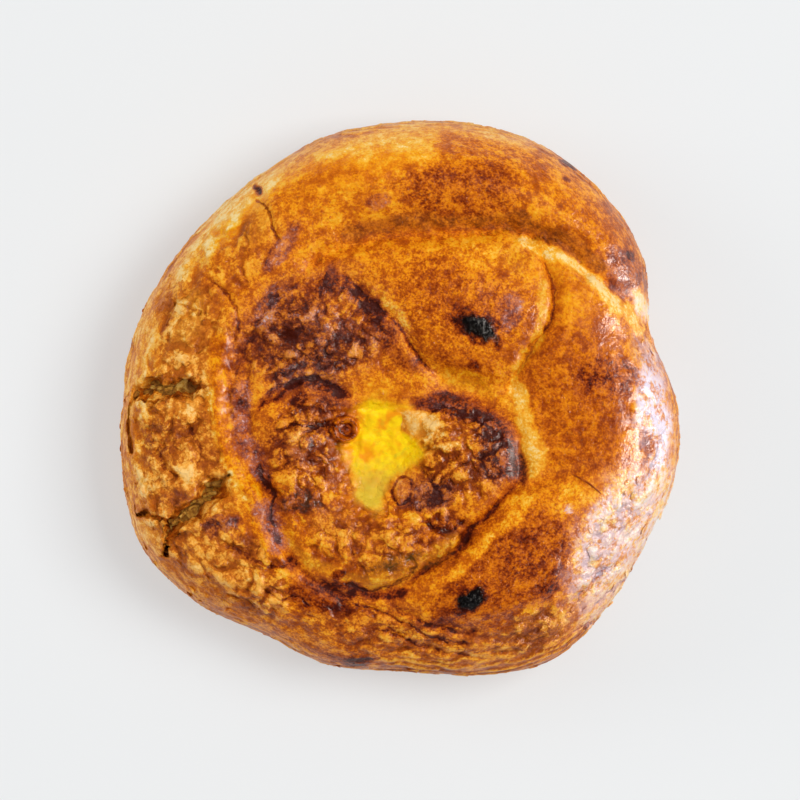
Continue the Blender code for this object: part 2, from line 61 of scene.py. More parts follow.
# %% Sizes of the coil
OUTLINE_STEP = 15.0  # degrees between the outline's radii, anticlockwise from +X
OUTLINE = (
    69.2, 65, 70.5, 72.5, 73, 71.5, 69.5, 68.5, 66.5, 66, 67, 68.5,
    69.5, 72, 74.5, 72, 68, 69, 68, 71.5, 75.5, 73.5, 71.3, 71.6,
)
PLATEAU = 35.0  # height of the top before lobes, ridges and seams
WIDEST_HEIGHT = 14.0
SHOULDER = 0.27  # share of the radius over which the top rounds down to its widest ring
SHOULDER_SWING, SHOULDER_TURN = 0.05, -70.0  # how much wider it is towards this direction, in degrees
TUCK = 0.11  # how far the side tucks in below its widest ring, as a share of the radius

LOBES = {  # x, y, half-length, half-width, turn in degrees, height
    "upper petal": (15, 22, 17, 12, -12, 4.6),
    "right petal": (47, 6, 11, 21, 12, 2.6),
    "lower petal": (32, -38, 22, 10, 38, 4.0),
    "back of the coil": (8, 56, 32, 8, -4, 2.2),
    "left side of the coil": (-54, -6, 12, 34, 0, -1.6),
    "front of the coil": (-8, -58, 26, 8, -4, -2.6),
    "dark fold": (-20, 15, 12, 9, 20, 2.0),
    "knob": (17, -14, 11, 10, 0, 3.6),
    "knob, left": (-26, -15, 8, 11, 0, 2.4),
    "knob, front": (-6, -35, 15, 7, -10, 2.0),
    "pit": (-5, -12, 8, 10, 0, -4.0),
    "valley": (17, 3, 9, 3, -15, -2.4),
}

RIDGES = {  # points, height and half-width
    "inner lip of the coil": (
        ((-38, 29), (-43, 17), (-45.5, 8.5), (-46, 0), (-44.5, -10.5), (-40, -17.5), (-37, -23.5),
         (-34, -30.5), (-31, -37.5), (-27, -43.5), (-21.5, -48)),
        1.3, 2.4),
    "flap beside the egg": (((0.5, -3), (4.5, -6.5), (8, -10.5)), 1.0, 1.6),
    "wrinkle below the egg": (((-3, -26), (-2, -34), (4, -39)), 0.7, 1.8),
    "wrinkle of the front": (((-1, -52), (5, -57), (14, -61.5), (26, -62)), 0.9, 1.8),
    "edge of the lower petal": (((10, -52), (20, -53), (31, -50), (39, -45), (44, -37)), 0.8, 2.2),
    "wrinkle of the left side": (((-58, 12), (-55, 22), (-49, 33), (-42, 42)), 0.8, 2.6),
    "crease of the front left": (((-50, -38), (-42, -46), (-31, -54), (-22, -58)), 0.9, 2.4),
}

SEAMS = {  # points, depth at start and end, width left and right of travel, how dark its line of painted shade is
    "coil and petals": (
        ((-19.5, 33), (-14, 37.5), (-7, 39.5), (2.5, 40.5), (12.5, 41), (22.5, 41.5), (29, 41),
         (36.5, 39), (44, 35.5), (50, 30), (55.5, 25), (61.5, 19.5), (70, 12)),
        5.4, 9.0, 11.0, 5.0, 0.12),
    "upper and right petal": (
        ((29, 41), (35.5, 36), (37.5, 30.5), (38, 26), (37, 21), (35.5, 16), (32.5, 10.5), (27.5, 3.5)),
        3.6, 5.0, 5.0, 7.0, 0.15),
    "upper petal and dark fold": (
        ((-16, 31), (-8.5, 26), (-4.5, 22.5), (-1.5, 19), (2, 15), (4.5, 11), (6.5, 8), (9, 5.5)),
        2.2, 3.8, 7.0, 3.0, 0.5),
    "knob, back": (
        ((2.5, -1.5), (6, 1.5), (11, 2), (16, 0), (21.5, -3), (26, -6), (29, -10), (30, -15.5),
         (29.5, -20.5)),
        2.0, 5.0, 6.0, 5.0, 0.35),
    "knob, front": (
        ((29.5, -20.5), (25, -26), (20, -31), (15.5, -35.5), (10, -40), (4, -44), (-2, -47)),
        6.6, 5.2, 6.0, 5.5, 0.4),
    "coil and knob": (
        ((-19.5, 33), (-25, 28.5), (-30.5, 24.5), (-34.5, 20), (-37, 14.5), (-38, 8.5), (-38, 2.5),
         (-38, -5), (-36.5, -12), (-34.5, -19), (-33, -25), (-30.5, -33.5), (-27, -39.5),
         (-22.5, -44), (-16, -46.5), (-9.5, -47.5), (-2, -47)),
        3.2, 4.6, 5.5, 9.0, 0.3),
    "slit in the dark fold": (
        ((-36, -3), (-33, 0.4), (-29.3, 3), (-24.8, 4.4), (-19.6, 4.2), (-15.6, 3), (-12, 2)),
        2.6, 1.4, 2.0, 3.5, 0.9),
    "right and lower petal": (
        ((29.5, -21), (34, -20), (38.5, -19.5), (43.5, -18.5), (50, -16.5)),
        4.6, 0.5, 7.0, 5.0, 0.1),
    "under the lower petal": (
        ((-2.5, -47.5), (0.5, -51.5), (4, -53.5), (9, -56.5), (14, -58.5), (20, -60)),
        2.6, 0.6, 3.5, 2.5, 0.5),
}

SEAM_ROUNDING = 0.7  # how blunt the bottom of a seam is

EGG_OUTLINE = (
    (-9.5, -2), (-4, -1), (1, -2.5), (0.5, -7.5), (4, -12.5), (1, -16.5), (-3.5, -19.5),
    (-5, -24.5), (-8.5, -25), (-10, -19.5), (-12.5, -13.5), (-10.5, -7.5),
)

# %% [markdown]
# ## Curves and lumps
# Three small helpers do most of the shaping. One draws a smooth line through a few points, one measures how
# far every point of the crust is from such a line, and one gives smooth random lumps of a chosen size, the
# same every time because its seed is fixed.

# %% Curves and lumps
def smooth_line(points, steps=5, closed=False):
    """A Catmull-Rom curve through the points, as an array of closely spaced points."""
    knots = np.array(points, float)
    count = len(knots)
    spans = count if closed else count - 1
    t = np.linspace(0, 1, steps, endpoint=False)[:, None]
    pieces = []
    for i in range(spans):
        around = [(i + k) % count if closed else min(max(i + k, 0), count - 1) for k in (-1, 0, 1, 2)]
        a, b, c, d = knots[around]
        pieces.append(b + 0.5 * t * (c - a + t * (2 * a - 5 * b + 4 * c - d + t * (3 * (b - c) + d - a))))
    pieces.append(knots[:1] if closed else knots[-1:])
    return np.concatenate(pieces)


def near_line(xy, line, within=12.0):
    """For each point: its distance from the line, the side it is on, and how far along the line it is.

    The side is 1 to the left of travel and -1 to the right, and round an end it turns smoothly from one to
    the other.
    """
    runs = np.diff(line, axis=0)
    lengths = np.linalg.norm(runs, axis=1)
    before = np.concatenate([[0], np.cumsum(lengths)])
    headings = runs / lengths[:, None]
    corners = np.concatenate([headings[:1], headings[:-1] + headings[1:], headings[-1:]])
    corners /= np.linalg.norm(corners, axis=1)[:, None]
    nearest = np.full(len(xy), within)
    side, along = np.ones(len(xy)), np.zeros(len(xy))
    around = (xy > line.min(0) - within).all(1) & (xy < line.max(0) + within).all(1)
    index = np.flatnonzero(around)
    for i, run in enumerate(runs):
        offset = xy[index] - line[i]
        share = np.clip(offset @ run / lengths[i]**2, 0, 1)
        away = offset - share[:, None] * run
        distance = np.linalg.norm(away, axis=1)
        closer = distance < nearest[index]
        spots = index[closer]
        share, away, distance = share[closer], away[closer], distance[closer]
        heading = np.where((share == 0)[:, None], corners[i], headings[i])
        heading = np.where((share == 1)[:, None], corners[i + 1], heading)
        nearest[spots] = distance
        turned = heading[:, 0] * away[:, 1] - heading[:, 1] * away[:, 0]
        side[spots] = np.clip(turned / np.maximum(distance, 1e-6), -1, 1)
        along[spots] = (before[i] + share * lengths[i]) / before[-1]
    return nearest, side, along


def fade(value, low, high):
    """0 below low, 1 above high and a smooth step between."""
    t = np.clip((value - low) / (high - low), 0, 1)
    return t * t * (3 - 2 * t)


def lumps(points, size, seed):
    """Smooth noise from -1 to 1 whose lumps are about size millimetres across."""
    cells = 32
    lattice = np.random.default_rng(seed).uniform(-1, 1, (cells,) * 3)
    place = points / size
    low = np.floor(place).astype(int)
    part = place - low
    part = part * part * (3 - 2 * part)
    total = np.zeros(len(points))
    for corner in itertools.product((0, 1), repeat=3):
        weight = np.prod(np.where(corner, part, 1 - part), axis=1)
        total += weight * lattice[tuple(((low + corner) % cells).T)]
    return total


def depth_inside(xy, outline):
    """How far each point lies inside a closed outline, negative outside it."""
    line = smooth_line(outline, closed=True)
    distance, _, _ = near_line(xy, line)
    inside = np.zeros(len(xy), bool)
    for (ax, ay), (bx, by) in zip(line[:-1], line[1:]):
        if ay == by:
            continue
        crosses = (ay > xy[:, 1]) != (by > xy[:, 1])
        inside ^= crosses & (xy[:, 0] < (bx - ax) * (xy[:, 1] - ay) / (by - ay) + ax)
    return np.where(inside, distance, -distance)


def wander(xy, amount=1.0):
    """The points moved about by lumps, so that lines drawn through them lose their even curve."""
    flat = np.column_stack([xy, np.zeros(len(xy))])
    coarse = np.column_stack([lumps(flat, 6.5, 51), lumps(flat, 6.5, 52)])
    fine = np.column_stack([lumps(flat, 2.3, 53), lumps(flat, 2.3, 54)])
    return xy + amount * (1.3 * coarse + 0.55 * fine)


# %% [markdown]
# ## The coil's form
# The top is a plateau that rounds down to the widest ring. Lobes swell it, lips and wrinkles stand up on
# it, and seams cut into it with a rounded shoulder on each side. All of it is a function of x and y, so the
# crust, the egg and the shreds can each ask how high the coil is anywhere.

# %% The coil's form
def outline_radius(angle):
    """Radius of the widest outline in the direction angle, in radians."""
    ring = np.array(OUTLINE)
    place = np.degrees(angle) % 360 / OUTLINE_STEP
    i = np.floor(place).astype(int)
    t = place - i
    a, b, c, d = (ring[(i + k) % len(ring)] for k in (-1, 0, 1, 2))
    return b + 0.5 * t * (c - a + t * (2 * a - 5 * b + 4 * c - d + t * (3 * (b - c) + d - a)))


def share_of_radius(xy):
    """How far out each point lies: 0 in the middle, 1 on the widest outline."""
    return np.hypot(xy[:, 0], xy[:, 1]) / outline_radius(np.arctan2(xy[:, 1], xy[:, 0]))


def oval(xy, place):
    """Distance from the middle of an oval, as a share of its radius in that direction."""
    x, y, half_length, half_width, turn = place
    away = xy - (x, y)
    c, s = math.cos(math.radians(turn)), math.sin(math.radians(turn))
    u = (away[:, 0] * c + away[:, 1] * s) / half_length
    v = (away[:, 1] * c - away[:, 0] * s) / half_width
    return np.hypot(u, v)


def swell(xy, lobe):
    """A rounded hill or hollow of the top."""
    return lobe[5] * np.exp(-0.5 * oval(xy, lobe[:5]) ** 3)


def seam_depth(xy):
    """How far the seams cut down at each point: the lobe on each side of a seam rounds down into it."""
    moved, deepest = wander(xy), np.zeros(len(xy))
    for points, depth_start, depth_end, width_left, width_right, _ in SEAMS.values():
        distance, side, along = near_line(moved, smooth_line(points))
        width = (width_left + width_right) / 2 + side * (width_left - width_right) / 2
        reach = np.clip(1 - np.hypot(distance, SEAM_ROUNDING) / width, 0, 1)
        depth = depth_start + (depth_end - depth_start) * along
        deepest = np.maximum(deepest, depth * (1 - np.sqrt(1 - reach**2)))
    return deepest


def ridge_height(xy):
    """How far the raised lips and wrinkles stand up, fading out at both ends."""
    moved, raised = wander(xy), np.zeros(len(xy))
    for points, height, half_width in RIDGES.values():
        distance, _, along = near_line(moved, smooth_line(points))
        ends = fade(along, 0, 0.2) * (1 - fade(along, 0.8, 1))
        raised += height * ends * np.exp(-((distance / half_width) ** 2))
    return raised


def coil_height(xy):
    """Height of the coil's top above the floor, before its finer features."""
    angle = np.arctan2(xy[:, 1], xy[:, 0])
    shoulder = SHOULDER + SHOULDER_SWING * np.cos(angle - math.radians(SHOULDER_TURN))
    swollen = PLATEAU + sum(swell(xy, lobe) for lobe in LOBES.values())
    crown = swollen + ridge_height(xy) - seam_depth(xy)
    over = np.clip((share_of_radius(xy) - (1 - shoulder)) / shoulder, 0, 1)
    return WIDEST_HEIGHT + (crown - WIDEST_HEIGHT) * np.sqrt(1 - over**2)


egg_low, egg_high = (np.array(corner[:2]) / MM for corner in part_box("set_egg"))
egg_line = smooth_line(EGG_OUTLINE, 2, closed=True)
CENTRE_SHIFT = (egg_low + egg_high) / 2 - (egg_line.min(0) + egg_line.max(0)) / 2
print("the solid moved by", CENTRE_SHIFT.round(2), "mm when it was centred")

# %% [markdown]
# ## Cracks, creases and blisters
# In the oven the rope swelled and tore in two places on the left, where the cabbage shows. The rest are
# small marks: thin creases, blisters, of which two have charred and one is a round flake in front of the
# egg, small pits, and a burst bubble beside the egg.

# %% Finer features of the top
CRACKS = {  # points, half-width at each, depth, how much wider it opens left and right of travel
    "upper crack": (
        ((-66, -0.5), (-65, 1), (-63, 2), (-60.5, 3), (-58, 2.6), (-55.5, 3.2), (-52.5, 3.6), (-49.5, 3.2)),
        (0.6, 2.2, 3.2, 2.8, 1.8, 1.4, 2.2, 0.3), 5.2, (0.9, 1.4)),
    "lower crack": (
        ((-42, -18), (-45, -20.5), (-48.5, -24), (-52, -27), (-55.5, -30), (-57.2, -33), (-57.8, -38.5)),
        (0.4, 2.6, 2.4, 2.1, 1.4, 0.7, 0.25), 5.4, (1.5, 0.9)),
    "branch of the lower crack": (
        ((-56, -31), (-60, -30), (-63.5, -28.5), (-66, -29)), (0.8, 0.6, 1.0, 0.4), 3.0, (1, 1)),
    "slit down the side": (
        ((-66, 0), (-67.3, -4), (-67.6, -9), (-67, -14)), (0.9, 0.6, 0.5, 0.3), 2.0, (1, 1)),
}
CREASE_WIDTH = 0.7  # millimetres from the middle of a crease's groove to where it has mostly faded
EGG_HOLLOW = 0.8  # how deep the crust dips under the egg
RING_BUBBLE = (-13.5, -7.5, 2.7)  # x, y, radius of its rim


def ring_of(x, y, half_length, half_width):
    """Eight points round an oval, ending where they start."""
    turns = [math.radians(45 * i) for i in range(9)]
    return tuple((x + half_length * math.cos(a), y + half_width * math.sin(a)) for a in turns)


CREASES = {  # points, how dark its line of painted shade is, groove depth
    "edge of the upper petal": (
        ((35.1, 36.6), (37.4, 28.1), (36.9, 19.8), (32.6, 12.3), (28.1, 5.3)), 0.6, 0.4),
    "left edge of the upper petal": (
        ((-13, 29), (-8.5, 26), (-4.5, 22.5), (-1.5, 19), (2, 15), (4.5, 11), (8, 6)), 0.45, 0.5),
    "border of the pale flank": (
        ((43.9, -16.6), (41.6, -25.3), (40.1, -35.4), (40.9, -44.2), (43.9, -49.7)), 0.12, 0.2),
    "round the ring bubble": (ring_of(-13.5, -7.5, 3.7, 3.7), 0.45, 0.5),
    "in the ring bubble": (ring_of(-13.5, -7.5, 1.5, 1.4), 0.7, 0.4),
    "round the flake": (ring_of(0.5, -22, 2.3, 3.3), 0.7, 0.6),
    "beside the ring bubble": (((-27.5, -6.5), (-23, -7.2), (-18, -6.6), (-14.5, -6.6)), 0.9, 0.5),
    "left shoulder": (((-37, 50), (-33.5, 48), (-32, 44), (-31, 41), (-29.5, 39)), 0.8, 0.7),
    "left of the upper crack": (((-56, 24), (-52, 23), (-48, 20.5)), 0.5, 0.4),
    "across the front, upper": (((-14, -44), (-9, -47), (-4, -46.5), (1, -44.5), (5, -40.5)), 0.7, 0.8),
    "across the front, middle": (((-13, -50), (-5, -52), (4, -57), (12, -61), (19, -61.5)), 0.65, 0.7),
    "across the front, lower": (((-6, -57), (3, -60.5), (14, -64), (25, -65)), 0.55, 0.6),
    "front left, upper": (((-44, -36), (-38, -38.5), (-33, -41), (-27, -41)), 0.55, 0.5),
    "front left, lower": (((-34, -47), (-30, -50), (-26, -49), (-22, -52)), 0.5, 0.5),
    "inside the lip": (((-35, -15), (-34, -20), (-31.5, -23), (-32, -28), (-29.5, -33)), 0.9, 0.7),
    "right edge": (((53.5, -41), (49, -44.5), (44.5, -49), (42, -51)), 0.8, 0.8),
    "right edge, middle": (((61, -37.5), (57, -43.5), (52.5, -48), (48, -52)), 0.8, 0.8),
    "right edge, outer": (((61.5, -42), (56, -49.5), (50, -54.5), (43, -58)), 0.7, 0.8),
    "knob, inner": (((5, -4), (11, -1.8), (17, -4), (23, -8), (26.5, -13)), 0.7, 0.6),
    "knob, front": (((3, -27), (8, -31), (13, -32), (18, -29)), 0.5, 0.5),
    "beside the right edge": (((62, -20), (64.5, -14), (66, -9)), 0.55, 0.5),
    "left wrinkle": (((-62, -8), (-60, -14), (-57, -18), (-53, -20)), 0.45, 0.6),
    "left wrinkle, inner": (((-52, -7), (-49.5, -12), (-50.5, -17)), 0.45, 0.6),
    "back left wrinkle": (((-47, 30), (-43, 26), (-40.5, 20), (-41, 13)), 0.5, 0.6),
}
BLISTERS = {  # x, y, half-length, half-width, turn, height
    "charred, upper petal": (19, 18, 4.4, 2.1, -28, 0.7),
    "charred, lower petal": (17.5, -49.5, 3.6, 2.2, 35, 0.7),
    "round flake": (0.5, -22, 2.0, 2.9, 0, 0.9),
    "left, upper": (-60, 21, 3.5, 2.5, 60, 0.7),
    "left, beside the slit": (-62.5, -4, 2.2, 3.6, 0, 0.8),
    "left, below the crack": (-52, -3.5, 4.5, 2.4, 8, 0.9),
    "left, low": (-62, -33, 3.2, 3.8, 15, 1.0),
    "knob": (12, -9, 4, 3, -20, 0.8),
    "knob, left": (-24.5, -11.5, 3.2, 3.6, 0, 0.8),
    "front left": (-33, -50, 4, 3.6, 10, 1.0),
}
PITS = {  # x, y, half-length, half-width, turn, depth
    "hole in the rim": (-35.5, 52, 1.0, 1.5, 30, -1.8),
    "dark pit of the lip": (-34, -20, 1.6, 3.0, 10, -1.4),
    "inside the lip": (-28.5, -33, 1.4, 4.5, 10, -1.0),
    "under the slit": (-17, 2.8, 4.0, 1.6, -5, -1.3),
    "behind the dark fold": (-27.5, 16, 2.8, 1.6, 0, -1.0),
    "right edge": (61.5, -11.5, 1.4, 3.0, 5, -0.8),
}


def crack_opening(xy):
    """How deep the cracks cut, and how near a point is to a crack's torn lip, 0 to 1."""
    flat = np.column_stack([xy, np.zeros(len(xy))])
    ragged = 0.55 * lumps(flat, 2.2, 21) + 0.3 * lumps(flat, 0.9, 22)
    moved, deepest, lip = wander(xy, 0.5), np.zeros(len(xy)), np.zeros(len(xy))
    for points, half_widths, depth, (left, right) in CRACKS.values():
        distance, side, along = near_line(moved, smooth_line(points))
        width = np.interp(along, np.linspace(0, 1, len(half_widths)), half_widths)
        width = width * ((left + right) / 2 + side * (left - right) / 2)
        slope = np.where(width > 0, 0.5 + 0.5 * np.abs(side), 1)
        edge = distance + ragged * np.minimum(width, 1)
        deepest = np.maximum(deepest, depth * (1 - fade(edge, width * 0.25, width * 1.1 * slope)))
        lip = np.maximum(lip, np.exp(-(((distance - width * 1.35 - 0.5) / 0.8) ** 2)))
    return deepest, lip


def fine_features(xy):
    """Height that creases, blisters, pits, the ring bubble and the hollow under the egg add to the coil."""
    moved = wander(xy, 0.6)
    height = sum(swell(moved, place) for place in (*BLISTERS.values(), *PITS.values()))
    for points, _, depth in CREASES.values():
        distance, _, along = near_line(moved, smooth_line(points))
        height -= depth * (1 - fade(along, 0.85, 1)) * np.exp(-((distance / CREASE_WIDTH) ** 2))
    x, y, radius = RING_BUBBLE
    from_ring = np.hypot(xy[:, 0] - x, xy[:, 1] - y) - radius
    height += 1.2 * np.exp(-((from_ring / 0.7) ** 2)) - 0.5 * np.exp(-(((from_ring + 1.5) / 0.6) ** 2))
    height -= 0.6 * np.exp(-(((from_ring - 1.4) / 0.6) ** 2))
    return height - EGG_HOLLOW * fade(depth_inside(xy, EGG_OUTLINE), -1.6, 1.6)


print(len(CRACKS), "cracks,", len(CREASES), "creases,", len(BLISTERS), "blisters,", len(PITS), "pits")

# %% [markdown]
# ## A closed skin
# The crust is one closed skin. A square grid is wrapped onto a disc, so that it has no pole in the middle,
# and its rows are spaced evenly over the rounded shoulder. Rows of quads then run down the side and tuck
# under, and rings that halve their points close the flat underside.

# %% The crust's mesh
TOP_CELLS = 256
SIDE_ROWS = 26
MEAN_RADIUS = 70.0
SHOULDER_ARC = 31.5  # millimetres along the rounded shoulder
RING_SHRINK = 0.82  # each ring of the underside is this share of the one before
SMALLEST_RING = 16  # points in the underside's last ring


def even_reach(ring):
    """Turns a row number, 0 to 1, into a share of the radius, so that rows are even along the profile."""
    flat = MEAN_RADIUS * (1 - SHOULDER)
    travelled = ring * (flat + SHOULDER_ARC)
    turn = np.clip((travelled - flat) / SHOULDER_ARC, 0, 1) * math.pi / 2
    return np.where(travelled < flat, travelled / MEAN_RADIUS, 1 - SHOULDER + SHOULDER * np.sin(turn))


def grid_quads(cells):
    """The quads of a square grid of points, row by row."""
    row = cells + 1
    return [
        (j * row + i, j * row + i + 1, (j + 1) * row + i + 1, (j + 1) * row + i)
        for j in range(cells) for i in range(cells)
    ]


def disc_grid(cells):
    """A square grid wrapped onto the unit disc: points, quads and the indices of the rim."""
    u, v = np.meshgrid(np.linspace(-1, 1, cells + 1), np.linspace(-1, 1, cells + 1))
    u, v = u.ravel(), v.ravel()
    wide = np.abs(u) > np.abs(v)
    ring = np.where(wide, u, v)
    ratio = np.where(wide, v, u) / np.where(ring == 0, 1, ring)
    angle = np.where(wide, math.pi / 4 * ratio, math.pi / 2 - math.pi / 4 * ratio)
    reach = np.sign(ring) * even_reach(np.abs(ring))
    row = cells + 1
    rim = (
        list(range(cells)) + [j * row + cells for j in range(cells)]
        + [cells * row + cells - i for i in range(cells)] + [(cells - j) * row for j in range(cells)]
    )
    return np.stack([reach * np.cos(angle), reach * np.sin(angle)], axis=1), grid_quads(cells), rim


def crust_mesh(cells, rows):
    """The whole outer skin of the pie, as points in millimetres and faces."""
    disc, faces, rim = disc_grid(cells)
    xy = disc * outline_radius(np.arctan2(disc[:, 1], disc[:, 0]))[:, None]
    depth, lip = crack_opening(xy)
    torn = (0.7 * lip - depth) * (1 - fade(share_of_radius(xy), 0.97, 1))
    points = [np.column_stack([xy, coil_height(xy) + fine_features(xy) + torn])]
    last, total = list(rim), len(xy)
    edge, rim_height = xy[rim], points[0][rim, 2]
    for j in range(1, rows + 1):
        turn = math.pi / 2 * j / rows
        ring = edge * (1 - TUCK * (1 - math.cos(turn)))
        points.append(np.column_stack([ring, rim_height * (1 - math.sin(turn))]))
        new = list(range(total, total + len(ring)))
        faces += [(last[i - 1], new[i - 1], new[i], last[i]) for i in range(len(ring))]
        last, total = new, total + len(ring)
    share = 1 - TUCK
    while len(last) > SMALLEST_RING:
        share *= RING_SHRINK
        halved = edge[:: len(edge) // (len(last) // 2)][: len(last) // 2] * share
        points.append(np.column_stack([halved, np.zeros(len(halved))]))
        new = list(range(total, total + len(halved)))
        for i in range(len(new)):
            a, b, c = last[2 * i], last[2 * i + 1], last[(2 * i + 2) % len(last)]
            faces += [(a, new[i], b), (b, new[i], new[(i + 1) % len(new)]), (b, new[(i + 1) % len(new)], c)]
        last, total = new, total + len(new)
    points.append(np.zeros((1, 3)))
    faces += [(last[i - 1], total, last[i]) for i in range(len(last))]
    return np.concatenate(points), faces


def mesh_object(name, points, faces):
    """A smooth-shaded mesh object from points in the coil's millimetres, moved to where the solid lies."""
    placed = np.array(points, float)
    placed[:, :2] += CENTRE_SHIFT
    mesh = bpy.data.meshes.new(name)
    mesh.from_pydata((placed * MM).tolist(), [], faces)
    mesh.shade_smooth()
    piece = bpy.data.objects.new(name, mesh)
    bpy.context.scene.collection.objects.link(piece)
    return piece


crust_points, crust_faces = crust_mesh(TOP_CELLS, SIDE_ROWS)
crust = mesh_object("baked_crust", crust_points, crust_faces)
print("crust:", len(crust_points), "points,", len(crust_faces), "faces")

# %% [markdown]
# ## Where the oven browned it
# Browning isn't random: lobes that stand up brown first, and creases stay pale unless juice has run into
# them. So each place on the crust gets a few numbers: how brown it is, how dry, how crumpled, how stained
# with egg, how green from the cabbage under it, how speckled, how much painted highlight it has, and how
# much painted lilac sheen lies on its lumps. Named ovals and bands set them in order, and later ones lie
# over earlier ones. Some bands also paint shade where a lobe shades its neighbour or a flank faces away
# from the light.

# %% Regions of the crust
GLAZED = {  # what the crust is like where nothing else is said, each from 0 to 1
    # Two of these are painted light: the lilac sheen on the lumps and the pale, white-lilac highlight.
    "brown": 0.45, "dry": 0.12, "rough": 0.12, "egg": 0.0,
    "olive": 0.0, "painted_sheen": 0.0, "speckle": 0.6, "pale": 0.0,
}
CRUMPLED = {  # x, y, half-length, half-width, turn, how crumpled and flaky the crust is
    "left side": ((-58, -6, 20, 50, 0), 1.0),
    "front left": ((-46, -42, 22, 14, -38), 1.0),
    "back left": ((-46, 34, 14, 12, 50), 0.6),
    "dark fold": ((-21, 16, 19, 14, 20), 0.9),
    "dark fold, right": ((-8, 12, 10, 7, -45), 0.35),
    "knob, left": ((-18, -16, 18, 17, -30), 0.9),
    "knob, front": ((-3, -34, 22, 11, 8), 0.8),
    "knob": ((15, -14, 13, 12, -10), 1.0),
    "front": ((-6, -60, 32, 10, -4), 0.6),
    "front right": ((34, -58, 16, 7, 22), 0.8),
    "rim of the lower petal": ((55.5, -35, 18, 8, 58), 0.8),
    "right rim": ((62, 0, 6, 22, 3), 0.5),
}
